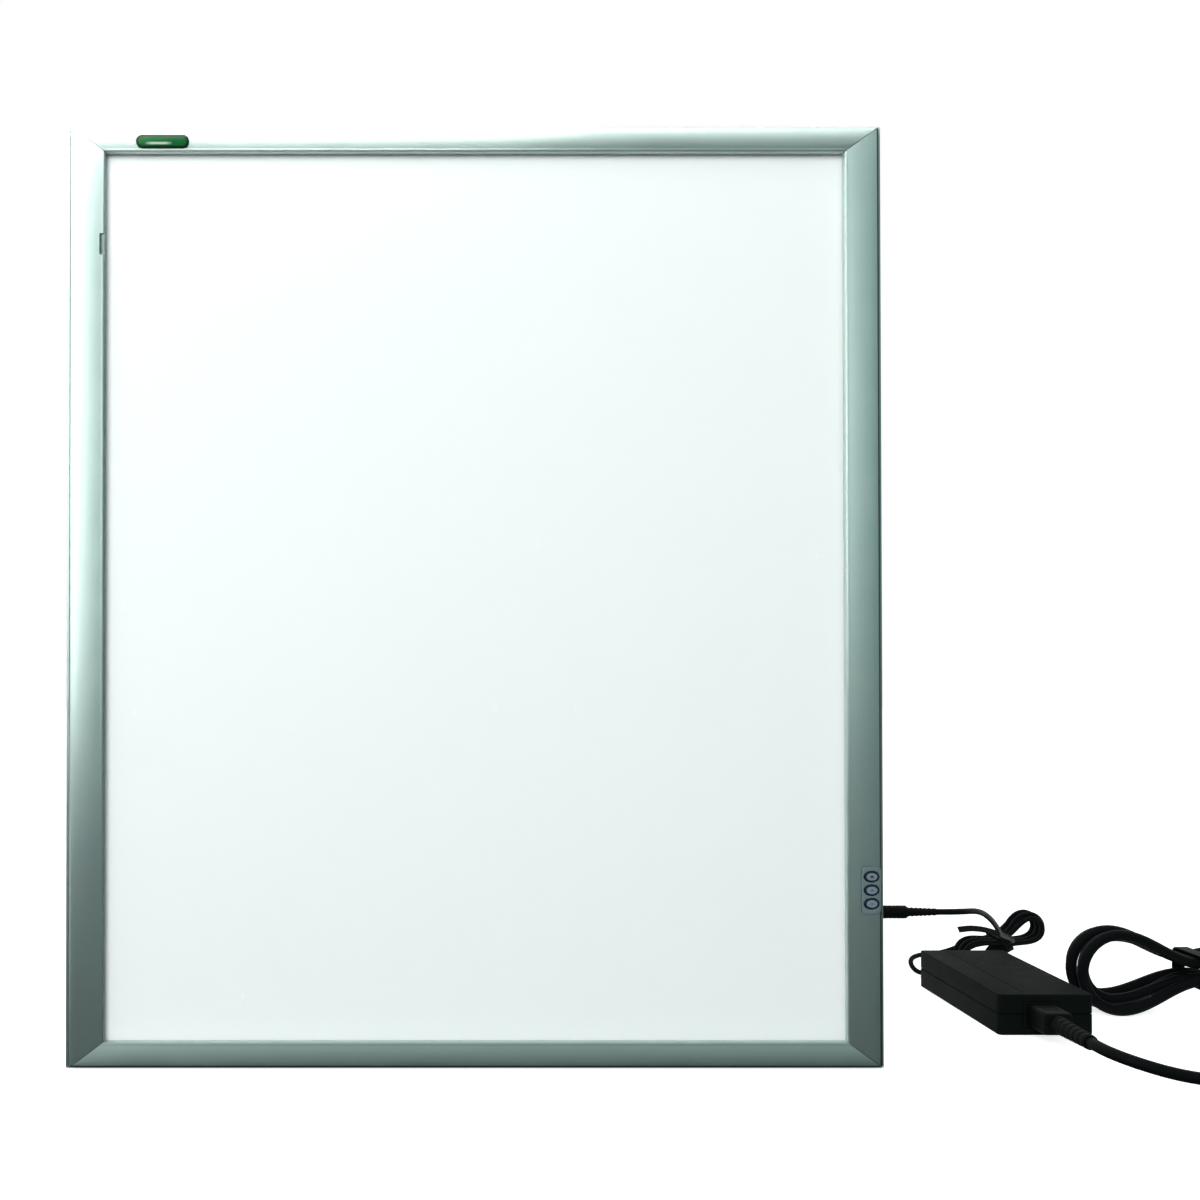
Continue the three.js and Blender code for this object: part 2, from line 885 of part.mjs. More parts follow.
function sheetSolid(low, thickness, sideInset, endInset) {
  return block(
    [-panelWidth / 2 + sideInset, back - low - thickness, endInset],
    [panelWidth / 2 - sideInset, back - low, panelHeight - endInset],
  );
}

// Corner key: an angle plate that lies on both flanges, screwed to the side rail
function cornerKeySolid(signX, signZ) {
  const corner = ([sideInset, endInset]) => [
    signX * (panelWidth / 2 - sideInset),
    signZ * (panelHeight / 2 - endInset),
  ];
  const outline = [
    [key.sideInset, key.endInset],
    [key.sideInset, key.endInset + key.sideLength],
    [key.sideInset + key.sideWidth, key.endInset + key.sideLength],
    [key.sideInset + key.sideWidth, key.endInset + key.endWidth],
    [key.sideInset + key.endLength, key.endInset + key.endWidth],
    [key.sideInset + key.endLength, key.endInset],
  ].map(corner);
  const low = base.flange + clearance;
  const [holeX, holeZ] = corner([key.sideInset + key.sideWidth / 2, key.screwSetback]);
  const hole = ovalOutline(key.holeRadius, key.holeRadius, 14).map(([x, z]) => [x + holeX, z + holeZ]);
  const plate = prism(outline, low, low + key.thickness);
  const drill = prism(hole, low - cutOverrun, low + key.thickness + cutOverrun);
  return plate.subtract(drill).rotate(90, 0, 0).translate(0, back, panelHeight / 2);
}

function cornerScrewSolid(signX, signZ) {
  const seat = base.flange + clearance + key.thickness + clearance;
  const screw = turned(
    [
      [0, clearance],
      [key.screwRadius, clearance + key.screwRadius / 2],
      [key.screwRadius, seat],
      [key.headRadius, seat],
      [key.headRadius, seat + key.headHeight / 2],
      [key.headRadius * screwHeadShare, seat + key.headHeight],
      [0, seat + key.headHeight],
    ],
    12,
  );
  screw.rotateX(-Math.PI);
  screw.translate(
    signX * (panelWidth / 2 - key.sideInset - key.sideWidth / 2),
    back,
    panelHeight / 2 + signZ * (panelHeight / 2 - key.screwSetback),
  );
  return solidOf(screw);
}

// Cords: a free stretch is swept along a smooth curve through its points
function sweep(points, diameter) {
  const curve = new THREE.CatmullRomCurve3(
    points.map((point) => new THREE.Vector3(...point)),
    false,
    "centripetal",
  );
  const section = ovalOutline(diameter / 2, diameter / 2, cordSides);
  const steps = Math.min(80, Math.max(12, Math.round(curve.getLength() / (sweepStepShare * diameter))));
  const geometry = new THREE.ExtrudeGeometry(shapeOf(section), {
    steps,
    extrudePath: curve,
    bevelEnabled: false,
  });
  return solidOf(geometry);
}

function smooth(share) {
  return (1 - Math.cos(Math.PI * Math.min(Math.abs(share), 1))) / 2;
}

function hankPitch(hank) {
  return hank.diameter * (1 + hankGapShare);
}

// Half the width of a hank at a distance from its waist
function hankWidth(hank, radius, a) {
  const waist = hankPitch(hank) * hankWaistShare;
  return waist + (radius - waist) * smooth(a / hank.halfRun);
}

// One point of a hank's line. A loop is a run, a fold, a run back and a fold. The loops spiral in
// and out by turns, and climb a layer along the run where the spiral reverses.
function hankPoint(hank, step) {
  const pitch = hankPitch(hank);
  const half = hank.halfRun;
  const loop = Math.floor(step / stepsInLoop);
  const inLoop = step - loop * stepsInLoop;
  const sinceReversal = Math.abs(step - stepsInRun / 2) / stepsInLoop;
  const radius = hank.innerRadius + pitch * Math.abs(1 - (sinceReversal % 2));
  const layer = loop - 1 + smooth(inLoop / stepsInRun);
  const secondRun = stepsInRun + stepsInFold;
  let a;
  let b;
  if (inLoop <= stepsInRun) {
    a = half - (2 * half * inLoop) / stepsInRun;
    b = hankWidth(hank, radius, a);
  } else if (inLoop <= secondRun) {
    const angle = (Math.PI * (inLoop - stepsInRun)) / stepsInFold;
    a = -half - radius * Math.sin(angle);
    b = radius * Math.cos(angle);
  } else if (inLoop <= secondRun + stepsInRun) {
    a = -half + (2 * half * (inLoop - secondRun)) / stepsInRun;
    b = -hankWidth(hank, radius, a);
  } else {
    const angle = (Math.PI * (inLoop - secondRun - stepsInRun)) / stepsInFold;
    a = half + radius * Math.sin(angle);
    b = -radius * Math.cos(angle);
  }
  return placeInHank(hank, a, b, layer * pitch);
}

function placeInHank(hank, a, b, c) {
  const tilt = THREE.MathUtils.degToRad(hank.tilt);
  const along = hank.runs * a;
  const across = hank.up * b;
  return [
    hank.centre[0] + along * Math.cos(tilt) - across * Math.sin(tilt),
    hank.centre[1] + c,
    hank.centre[2] + along * Math.sin(tilt) + across * Math.cos(tilt),
  ];
}

// The point at a distance past the second of two points, on the line through them
function beyond(from, to, distance) {
  const length = Math.hypot(...to.map((value, i) => value - from[i]));
  return to.map((value, i) => value + ((value - from[i]) * distance) / length);
}

// A point on the straight line out of either end of a hank
function outOfHank(hank, atEnd, distance) {
  const step = atEnd ? hank.endStep : hank.startStep;
  const nearby = step + (atEnd ? -tangentStepShare : tangentStepShare);
  return beyond(hankPoint(hank, nearby), hankPoint(hank, step), distance);
}

// A hank's line, with straight ends one diameter long
function hankLine(hank) {
  const points = [];
  for (let step = hank.startStep; step <= hank.endStep; step++) points.push(hankPoint(hank, step));
  return [
    outOfHank(hank, false, hank.diameter),
    ...points,
    outOfHank(hank, true, hank.diameter),
  ];
}

// A tube whose rings stand square to a line, one at each of its points
function tube(line, diameter, sides) {
  const points = line.map((point) => new THREE.Vector3(...point));
  const last = points.length - 1;
  const positions = [];
  const triangles = [];
  let across = new THREE.Vector3(0, 1, 0);
  points.forEach((point, i) => {
    const before = points[Math.max(i - 1, 0)];
    const after = points[Math.min(i + 1, last)];
    const along = after.clone().sub(before).normalize();
    across = across.clone().addScaledVector(along, -across.dot(along)).normalize();
    const aside = along.clone().cross(across);
    for (const [x, y] of arc([0, 0], diameter / 2, 0, 360 - 360 / sides, sides - 1)) {
      const corner = point.clone().addScaledVector(across, x).addScaledVector(aside, y);
      positions.push(...corner.toArray());
    }
  });
  const firstCentre = points.length * sides;
  const lastCentre = firstCentre + 1;
  positions.push(...points[0].toArray(), ...points[last].toArray());
  for (let side = 0; side < sides; side++) {
    const next = (side + 1) % sides;
    for (let i = 0; i < last; i++) {
      const ring = i * sides;
      const ringAfter = ring + sides;
      triangles.push(ring + side, ring + next, ringAfter + next);
      triangles.push(ring + side, ringAfter + next, ringAfter + side);
    }
    triangles.push(firstCentre, next, side);
    triangles.push(lastCentre, last * sides + side, last * sides + next);
  }
  const geometry = new THREE.BufferGeometry();
  geometry.setAttribute("position", new THREE.Float32BufferAttribute(positions, 3));
  geometry.setIndex(triangles);
  return solidOf(geometry);
}

// The least gap between a tube's turns, from its points to its line three or more steps away
function leastGap(line, diameter) {
  const points = line.map((point) => new THREE.Vector3(...point));
  const nearest = new THREE.Vector3();
  let least = Infinity;
  points.forEach((point, i) => {
    for (let j = 1; j < points.length; j++) {
      if (Math.min(Math.abs(i - j), Math.abs(i - j + 1)) < 3) continue;
      new THREE.Line3(points[j - 1], points[j]).closestPointToPoint(point, true, nearest);
      least = Math.min(least, point.distanceTo(nearest) - diameter);
    }
  });
  return least;
}

// A band round a hank's waist
function tieSolid(hank, width) {
  const pitch = hankPitch(hank);
  const radius = hank.innerRadius + pitch;
  const inner = hank.diameter / 2 + clearance;
  const halfAcross = hankWidth(hank, radius, hank.halfRun / stepsInRun) + inner;
  const lastLayer = Math.floor(hank.endStep / stepsInLoop);
  const firstDepth = -pitch / 2 - inner - clearance;
  const lastDepth = lastLayer * pitch + inner;
  const depth = lastDepth - firstDepth;
  const ring = shapeOf(
    roundedOutline(2 * (halfAcross + tie.thickness), depth + 2 * tie.thickness, inner + tie.thickness),
  );
  ring.holes.push(new THREE.Path(shapeOf(roundedOutline(2 * halfAcross, depth, inner)).getPoints()));
  const geometry = new THREE.ExtrudeGeometry(ring, { depth: width, bevelEnabled: false });
  geometry.translate(0, (firstDepth + lastDepth) / 2, -width / 2);
  const along = new THREE.Vector3(1, 0, 0);
  const through = new THREE.Vector3(0, 1, 0);
  const across = new THREE.Vector3(0, 0, 1).negate();
  geometry.applyMatrix4(new THREE.Matrix4().makeBasis(across, through, along));
  geometry.rotateY(THREE.MathUtils.degToRad(-hank.tilt));
  geometry.translate(...hank.centre);
  return solidOf(geometry);
}

// A turned solid set with its axis from a point in a direction
function turnedAlong(profile, sides, start, direction) {
  const geometry = turned(profile, sides);
  const turn = new THREE.Quaternion().setFromUnitVectors(
    new THREE.Vector3(0, 1, 0),
    new THREE.Vector3(...direction),
  );
  geometry.applyQuaternion(turn);
  geometry.translate(...start);
  return solidOf(geometry);
}

// An outline in X and Z, pushed along Y about a point in X and Z
function prismAlongY(outline, [x, z], lowY, highY) {
  return prism(outline, -highY, -lowY).rotate(90, 0, 0).translate(x, 0, z);
}

// A relief in rings that grow thinner to a tip, as the profile of a turned solid
function ribbedProfile({ reliefLength, reliefRoot, ribs, ribDepth }, tip, start) {
  const pitch = (reliefLength - start) / ribs;
  const profile = [];
  for (let rib = 0; rib < ribs; rib++) {
    const radius = reliefRoot + ((tip - reliefRoot) * rib) / (ribs - 1);
    const low = start + rib * pitch;
    profile.push([radius, low], [radius, low + pitch * ribShare]);
    profile.push([radius - ribDepth, low + pitch * ribShare], [radius - ribDepth, low + pitch]);
  }
  return profile;
}

// DC plug
const right = panelWidth / 2;
const jackY = back - jack.axis;
const plugStart = right + clearance;

function dcPlugBodySolid() {
  const end = plug.bodyLength + plug.reliefLength;
  const tip = dcCordDiameter / 2 + clearance;
  const profile = [
    [0, 0],
    [plug.radius - plug.rounding, 0],
    [plug.radius, plug.rounding],
    [plug.radius, plug.bodyLength - plug.rounding],
    [plug.radius - plug.rounding, plug.bodyLength],
    [plug.reliefRoot, plug.bodyLength],
    [tip, end],
    [0, end],
  ];
  return turnedAlong(profile, 16, [plugStart, jackY, jack.height], [1, 0, 0]);
}

function dcPlugBarrelSolid() {
  const boreStart = sideRail.wall + clearance + jack.boreDepth - jack.pinLength - clearance;
  const profile = [
    [0, 0],
    [plug.barrelRadius, 0],
    [plug.barrelRadius, plug.barrelLength],
    [plug.barrelBore, plug.barrelLength],
    [plug.barrelBore, boreStart],
    [0, boreStart],
  ];
  return turnedAlong(profile, 16, [right, jackY, jack.height], [-1, 0, 0]);
}

// Power adapter
const adapterMiddleX = adapter.left + adapter.width / 2;
const adapterMiddleY = adapter.front + adapter.length / 2;
const adapterRear = adapter.front + adapter.length;

function adapterShells() {
  const { bevel, wall, height, width, length, corner } = adapter;
  const outline = shapeOf(roundedOutline(width, length, corner));
  const form = new THREE.ExtrudeGeometry(outline, {
    depth: height - 2 * bevel,
    bevelThickness: bevel,
    bevelSize: bevel,
    bevelOffset: -bevel,
    bevelSegments: 2,
  });
  form.translate(adapterMiddleX, adapterMiddleY, bevel);
  const hollow = prism(
    roundedOutline(width - 2 * wall, length - 2 * wall, corner - wall),
    wall,
    height - wall,
  );
  const inletHole = block(
    [
      inlet.x - inlet.width / 2 - clearance,
      adapter.front - cutOverrun,
      inlet.z - inlet.height / 2 - clearance,
    ],
    [
      inlet.x + inlet.width / 2 + clearance,
      adapter.front + wall + cutOverrun,
      inlet.z + inlet.height / 2 + clearance,
    ],
  );
  const outletRadius = outlet.reliefRoot + clearance;
  const outletHole = turnedAlong(
    [
      [0, 0],
      [outletRadius, 0],
      [outletRadius, wall + 2 * cutOverrun],
      [0, wall + 2 * cutOverrun],
    ],
    16,
    [outlet.x, adapterRear - wall - cutOverrun, outlet.z],
    [0, 1, 0],
  );
  const whole = solidOf(form)
    .subtract(hollow.translate(adapterMiddleX, adapterMiddleY, 0))
    .subtract(inletHole)
    .subtract(outletHole);
  const reach = [adapter.left - cutOverrun, adapter.front - cutOverrun];
  const farReach = [adapter.left + width + cutOverrun, adapterRear + cutOverrun];
  let bottom = whole.intersect(block([...reach, -cutOverrun], [...farReach, adapter.split]));
  for (const [x, y] of adapterPosts) {
    const post = prism(
      ovalOutline(adapter.postRadius, adapter.postRadius, 12),
      wall / 2,
      adapter.boardHeight - clearance,
    );
    bottom = bottom.add(post.translate(x, y, 0));
  }
  const low = adapter.split + clearance;
  const top = whole.intersect(block([...reach, low], [...farReach, height + cutOverrun]));
  return { bottom, top };
}

const adapterBoardBox = {
  low: [adapter.left + adapter.boardMargin, adapter.front + inlet.depth + adapter.boardMargin],
  high: [
    adapter.left + adapter.width - adapter.boardMargin,
    adapterRear - adapter.wall - adapter.boardMargin,
  ],
};
const adapterPosts = [adapterBoardBox.low[0], adapterBoardBox.high[0]].flatMap((x, i) =>
  [adapterBoardBox.low[1], adapterBoardBox.high[1]].map((y, j) => [
    x + (i === 0 ? 1 : -1) * adapter.postRadius,
    y + (j === 0 ? 1 : -1) * adapter.postRadius,
  ]),
);
const adapterBoardTop = adapter.boardHeight + adapter.boardThickness;

function transformerSolid() {
  const y = adapterBoardBox.low[1] + adapter.boardMargin + adapter.transformerLength;
  const low = adapterBoardTop + clearance;
  const high = low + adapter.transformerHeight;
  const halfWidth = adapter.transformerWidth / 2;
  const winding = block(
    [adapterMiddleX - halfWidth, y - adapter.transformerLength / 2, low],
    [adapterMiddleX + halfWidth, y + adapter.transformerLength / 2, high],
  );
  const halfLeg = adapter.coreWidth / 2;
  const coreReach = halfWidth + adapter.coreRise;
  const core = block(
    [adapterMiddleX - coreReach, y - halfLeg, low],
    [adapterMiddleX + coreReach, y + halfLeg, high + adapter.coreRise],
  );
  return winding.add(core);
}

function capacitorSolid() {
  const y = adapterBoardBox.high[1] - adapter.boardMargin - adapter.capacitorLength;
  const axis = adapterBoardTop + clearance + adapter.capacitorRadius;
  const profile = [
    [0, 0],
    [adapter.capacitorRadius - adapter.bevel, 0],
    [adapter.capacitorRadius, adapter.bevel],
    [adapter.capacitorRadius, adapter.capacitorLength],
    [0, adapter.capacitorLength],
  ];
  return turnedAlong(profile, 16, [adapterMiddleX, y, axis], [0, 1, 0]);
}

function outletReliefSolid() {
  const tip = dcCordDiameter / 2 + clearance;
  const flangeEnd = -adapter.wall - clearance;
  const profile = [
    [0, flangeEnd - outlet.collarLength],
    [outlet.collar, flangeEnd - outlet.collarLength],
    [outlet.collar, flangeEnd],
    [outlet.reliefRoot, flangeEnd],
    ...ribbedProfile(outlet, tip + outlet.ribDepth, 0),
    [0, outlet.reliefLength],
  ];
  return turnedAlong(profile, 12, [outlet.x, adapterRear, outlet.z], [0, 1, 0]);
}

// Mains inlet in the adapter's near face: a recess with three pins
const inletPins = [-1, 0, 1].map((side) => [
  inlet.x + side * inlet.pinPitch,
  inlet.z + (side === 0 ? inlet.pinRise : -inlet.pinRise),
]);

function inletPinBore(radius, start, length) {
  return inletPins.map(([x, z]) =>
    turnedAlong(
      [
        [0, 0],
        [radius, 0],
        [radius, length],
        [0, length],
      ],
      10,
      [x, start, z],
      [0, 1, 0],
    ),
  );
}

function inletSolid() {
  const halfWidth = inlet.width / 2;
  const halfHeight = inlet.height / 2;
  const body = block(
    [inlet.x - halfWidth, adapter.front, inlet.z - halfHeight],
    [inlet.x + halfWidth, adapter.front + inlet.depth, inlet.z + halfHeight],
  );
  const recess = prismAlongY(
    roundedOutline(
      inlet.noseWidth + 2 * clearance,
      inlet.noseHeight + 2 * clearance,
      connector.corner + clearance,
    ),
    [inlet.x, inlet.z],
    adapter.front - cutOverrun,
    adapter.front + inlet.recess,
  );
  let solid = body.subtract(recess);
  const pinStart = adapter.front + inlet.recess - inlet.pinLength;
  for (const pin of inletPinBore(inlet.pinRadius, pinStart, inlet.pinLength + clearance)) {
    solid = solid.add(pin);
  }
  return solid;
}

// Mains connector: its nose stands in the inlet, and its relief is ribbed
const connectorFace = adapter.front - clearance;
const connectorEnd = connectorFace - connector.length;

function connectorSolid() {
  const axis = [inlet.x, inlet.z];
  const noseTip = adapter.front + inlet.recess - clearance;
  const tip = mainsCordDiameter / 2 + clearance + connector.ribDepth;
  const body = prismAlongY(
    roundedOutline(connector.width, connector.height, connector.corner),
    axis,
    connectorEnd,
    connectorFace,
  );
  const nose = prismAlongY(
    roundedOutline(inlet.noseWidth, inlet.noseHeight, connector.corner),
    axis,
    connectorFace - clearance,
    noseTip,
  );
  const relief = turnedAlong(
    [
      [0, -clearance],
      ...ribbedProfile(connector, tip, -clearance),
      [0, connector.reliefLength],
    ],
    12,
    [inlet.x, connectorEnd, inlet.z],
    [0, -1, 0],
  );
  let solid = body.add(nose).add(relief);
  const boreStart = adapter.front + inlet.recess - inlet.pinLength - clearance;
  const boreLength = inlet.pinLength + clearance + cutOverrun;
  for (const bore of inletPinBore(inlet.pinBore, boreStart, boreLength)) {
    solid = solid.subtract(bore);
  }
  return solid;
}

// Mains plug: a round body with its pins on a face plate let into it
const plugBodyStart = mainsPlugStart[0] + mainsPlug.reliefLength;
const plugBodyEnd = plugBodyStart + mainsPlug.bodyLength;

function mainsPlugBodySolid() {
  const { reliefLength, bodyLength, bodyRadius, neckRadius, bridge } = mainsPlug;
  const tip = mainsCordDiameter / 2 + clearance;
  const end = reliefLength + bodyLength;
  const body = turnedAlong(
    [
      [0, 0],
      [tip, 0],
      [neckRadius, reliefLength],
      [bodyRadius, reliefLength + neckRadius],
      [bodyRadius, end - bridge / 2],
      [bodyRadius - bridge / 2, end],
      [0, end],
    ],
    20,
    mainsPlugStart,
    [1, 0, 0],
  );
  const seatRadius = bodyRadius - bridge + clearance;
  const seat = turnedAlong(
    [
      [0, end - bridge - clearance],
      [seatRadius, end - bridge - clearance],
      [seatRadius, end + cutOverrun],
      [0, end + cutOverrun],
    ],
    20,
    mainsPlugStart,
    [1, 0, 0],
  );
  return body.subtract(seat);
}

function mainsPlugPinsSolid() {
  const { bodyRadius, bridge, pinRadius, pinLength, pinSpread, earthDrop } = mainsPlug;
  const plateRadius = bodyRadius - bridge;
  const [, y, z] = mainsPlugStart;
  let solid = turnedAlong(
    [
      [0, 0],
      [plateRadius, 0],
      [plateRadius, bridge],
      [0, bridge],
    ],
    20,
    [plugBodyEnd - bridge, y, z],
    [1, 0, 0],
  );
  const places = [
    [-pinSpread, -earthDrop / 2],
    [pinSpread, -earthDrop / 2],
    [0, earthDrop],
  ];
  for (const [aside, up] of places) {
    const pin = turnedAlong(
      [
        [0, 0],
        [pinRadius, 0],
        [pinRadius, pinLength - pinRadius / 2],
        [pinRadius / 2, pinLength],
        [0, pinLength],
      ],
      12,
      [plugBodyEnd - bridge / 2, y + aside, z + up],
      [1, 0, 0],
    );
    solid = solid.add(pin);
  }
  return solid;
}

// LED leads: from the back of each LED strip through a notch in the web to the control board
const leadY = back - boardLead.height;
const notchMiddle = (boardLead.notchLow + boardLead.notchHigh) / 2;
const leadX = right - boardLead.sideInset;
const stripX = right - sideSheetInset + clearance;
const leadEnd = boardLowEnd - clearance;
const boardY = back - board.low - board.thickness / 2;

function leadFromStrip(sign) {
  return [
    [sign * stripX, leadY, notchMiddle],
    [sign * (stripX + boardLead.bend), leadY, notchMiddle],
  ];
}

function leadToBoard(x) {
  return [
    [x, leadY, leadEnd - 2 * boardLead.bend],
    [x, boardY, leadEnd - boardLead.bend / 2],
    [x, boardY, leadEnd],
  ];
}

function rightLeadLine() {
  return [...leadFromStrip(1), [leadX, leadY, notchMiddle + boardLead.bend], ...leadToBoard(leadX)];
}

function leftLeadLine() {
  const farX = right - boardLead.farInset;
  const cornerX = right - sideRail.webInset - boardLead.bend;
  const low = boardLead.endInset;
  return [
    ...leadFromStrip(-1),
    [-leadX, leadY, notchMiddle - boardLead.bend],
    [-leadX, leadY, low + 2 * boardLead.bend],
    [-leadX + boardLead.bend, leadY, low + boardLead.bend / 2],
    [-cornerX, leadY, low],
    [cornerX, leadY, low],
    [farX - boardLead.bend, leadY, low + boardLead.bend / 2],
    [farX, leadY, low + 2 * boardLead.bend],
    ...leadToBoard(farX),
  ];
}

// The whole box
const springReach = panelHeight / 2 - spring.endSetback;
const viewBox = new THREE.Group();
viewBox.name = "xray_view_box";

for (const side of Object.keys(rails)) {
  const rail = rails[side];
  const group = railGroup(side);
  viewBox.add(group);
  addPiece(group, `base_rail_${side}`, baseRail(side), finishes.aluminium);
  addPiece(group, `snap_rail_${side}`, snapRail(side), finishes.aluminium);
  for (let index = 0; index < rail.springs; index++) {
    const along = rail.springs === 1 ? 0 : (2 * index - 1) * springReach;
    const name = rail.springs === 1 ? `snap_spring_${side}` : `snap_spring_${side}_${index + 1}`;
    addPiece(group, name, springSolid(rail.kind, along), finishes.steel);
  }
  if (rail.kind === sideRail) addPiece(group, `led_strip_${side}`, ledStripSolid(), finishes.white);
  if (side === "right") {
    addPiece(group, "control_board", controlBoardSolid(), finishes.board);
    addPiece(group, "dc_jack", jackSolid(), finishes.black);
    addPiece(group, "control_plate", controlPlateSolid(), finishes.label);
    ["power_button", "brighter_button", "dimmer_button"].forEach((name, index) => {
      addPiece(group, name, buttonSolid(buttonHeights[index]), finishes.button);
    });
  }
  if (side === "top") {
    addPiece(group, "badge_plate", facePlate(endRail, badgePlate), finishes.badge);
    const gripHigh = endRail.faceWidth - cover.skin - clearance;
    const gripSolid = block(
      [gripHigh - grip.thickness, lipHeight, -grip.length / 2],
      [gripHigh, lipHeight + grip.height, grip.length / 2],
    );
    addPiece(group, "film_grip_strip", gripSolid, finishes.black);
  }
}

for (const [signZ, level] of [
  [-1, "bottom"],
  [1, "top"],
]) {
  for (const [signX, side] of [
    [-1, "left"],
    [1, "right"],
  ]) {
    addPiece(viewBox, `corner_key_${level}_${side}`, cornerKeySolid(signX, signZ), finishes.steel);
    addPiece(viewBox, `corner_screw_${level}_${side}`, cornerScrewSolid(signX, signZ), finishes.steel);
  }
}

const panelSheets = [
  ["back_panel", backPanelLow, sheets.backPanel, sideSheetInset, finishes.backPanel],
  ["reflector_sheet", reflectorLow, sheets.reflector, sideSheetInset, finishes.white],
  ["light_guide", lightGuideLow, sheets.lightGuide, lightGuideInset, finishes.clear],
  ["diffuser_sheet", diffuserLow, sheets.diffuser, sideSheetInset, finishes.diffuser],
  ["clear_cover_sheet", clearCoverLow, sheets.clearCover, sideSheetInset, finishes.clear],
];
for (const [name, low, thickness, sideInset, finish] of panelSheets) {
  addPiece(viewBox, name, sheetSolid(low, thickness, sideInset, endSheetInset), finish);
}

const leadSides = 6;
addPiece(viewBox, "led_lead_left", tube(leftLeadLine(), 2 * boardLead.radius, leadSides), finishes.white);
addPiece(viewBox, "led_lead_right", tube(rightLeadLine(), 2 * boardLead.radius, leadSides), finishes.white);

addPiece(viewBox, "dc_plug_body", dcPlugBodySolid(), finishes.black);
addPiece(viewBox, "dc_plug_barrel", dcPlugBarrelSolid(), finishes.steel);

const shells = adapterShells();
addPiece(viewBox, "adapter_bottom_shell", shells.bottom, finishes.black);
addPiece(viewBox, "adapter_top_shell", shells.top, finishes.black);
const adapterBoard = block(
  [...adapterBoardBox.low, adapter.boardHeight],
  [...adapterBoardBox.high, adapterBoardTop],
);
addPiece(viewBox, "adapter_board", adapterBoard, finishes.board);
addPiece(viewBox, "adapter_transformer", transformerSolid(), finishes.copper);
addPiece(viewBox, "adapter_capacitor", capacitorSolid(), finishes.label);
addPiece(viewBox, "adapter_strain_relief", outletReliefSolid(), finishes.black);
addPiece(viewBox, "mains_inlet", inletSolid(), finishes.black);
addPiece(viewBox, "mains_connector", connectorSolid(), finishes.black);
addPiece(viewBox, "mains_plug_body", mainsPlugBodySolid(), finishes.black);
addPiece(viewBox, "mains_plug_pins", mainsPlugPinsSolid(), finishes.steel);

// Each cord runs from its own end over a free stretch, through its hank and over a tail
const cords = [
  {
    name: "dc",
    hank: dcHank,
    tieWidth: tie.dcWidth,
    start: [
      plugStart + plug.bodyLength + plug.reliefLength + clearance,
      jackY,
      jack.height,
    ],
    front: dcFrontRoute,
    tail: dcTailRoute,
    end: [outlet.x, adapterRear + outlet.reliefLength + clearance, outlet.z],
  },
  {
    name: "mains",
    hank: mainsHank,
    tieWidth: tie.mainsWidth,
    start: [inlet.x, connectorEnd - connector.reliefLength - clearance, inlet.z],
    front: mainsFrontRoute,
    tail: mainsTailRoute,
    end: [mainsPlugStart[0] - clearance, mainsPlugStart[1], mainsPlugStart[2]],
  },
];
for (const { name, hank, tieWidth, start, front, tail, end } of cords) {
  const line = hankLine(hank);
  const { diameter } = hank;
  const reach = diameter + clearance;
  const joinFront = [outOfHank(hank, false, reach + diameter), outOfHank(hank, false, reach)];
  const joinTail = [outOfHank(hank, true, reach), outOfHank(hank, true, reach + diameter)];
  const frontLine = [start, ...front, ...joinFront];
  const tailLine = [...joinTail, ...tail, end];
  addPiece(viewBox, `${name}_cord_free`, sweep(frontLine, diameter), finishes.cord);
  addPiece(viewBox, `${name}_cord_hank`, tube(line, diameter, hankSides), finishes.cord);
  addPiece(viewBox, `${name}_cord_tail`, sweep(tailLine, diameter), finishes.cord);
  addPiece(viewBox, `${name}_hank_tie`, tieSolid(hank, tieWidth), finishes.black);
  console.log(`${name}_cord_hank: least gap ${leastGap(line, diameter).toFixed(2)} mm`);
}

export default viewBox;
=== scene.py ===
import math

import bmesh
import bpy
from mathutils import Matrix, Vector


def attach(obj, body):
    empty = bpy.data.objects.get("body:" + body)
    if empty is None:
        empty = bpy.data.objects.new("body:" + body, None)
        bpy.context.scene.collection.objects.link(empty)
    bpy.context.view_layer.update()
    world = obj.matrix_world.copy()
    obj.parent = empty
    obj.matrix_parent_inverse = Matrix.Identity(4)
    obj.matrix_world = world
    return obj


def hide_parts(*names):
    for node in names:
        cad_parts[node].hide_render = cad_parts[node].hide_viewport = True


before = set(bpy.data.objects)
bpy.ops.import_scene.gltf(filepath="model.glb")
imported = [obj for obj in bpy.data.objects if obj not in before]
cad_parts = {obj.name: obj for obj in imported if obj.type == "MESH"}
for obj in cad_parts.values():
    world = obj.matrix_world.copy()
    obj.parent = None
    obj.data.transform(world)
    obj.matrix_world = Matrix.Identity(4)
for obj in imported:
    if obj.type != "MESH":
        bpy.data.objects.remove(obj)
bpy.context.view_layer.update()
print("frame: loaded")

camera = {
    "place": (-0.0578, -0.7821, 0.2311),
    "pitch": 0.0117,
    "focalPixels": 1445.4,  # pixels are those of the photograph's square frame
    "framePixels": 1200,
    "aheadPixel": (367.3, 621.2),  # what lies straight ahead of the lens
    "sensor": 36,
    "near": 0.02,
    "far": 30,
}


def addObject(name, data):
    obj = bpy.data.objects.new(name, data)
    bpy.context.scene.collection.objects.link(obj)
    return obj


def makeCamera():
    data = bpy.data.cameras.new("camera")
    size = camera["framePixels"]
    data.sensor_width = camera["sensor"]
    data.lens = camera["focalPixels"] * camera["sensor"] / size
    data.shift_x = (size / 2 - camera["aheadPixel"][0]) / size
    data.shift_y = (camera["aheadPixel"][1] - size / 2) / size
    data.clip_start, data.clip_end = camera["near"], camera["far"]
    obj = addObject("camera", data)
    obj.location = camera["place"]
    obj.rotation_euler = (math.pi / 2 + camera["pitch"], 0, 0)
    bpy.context.scene.camera = obj


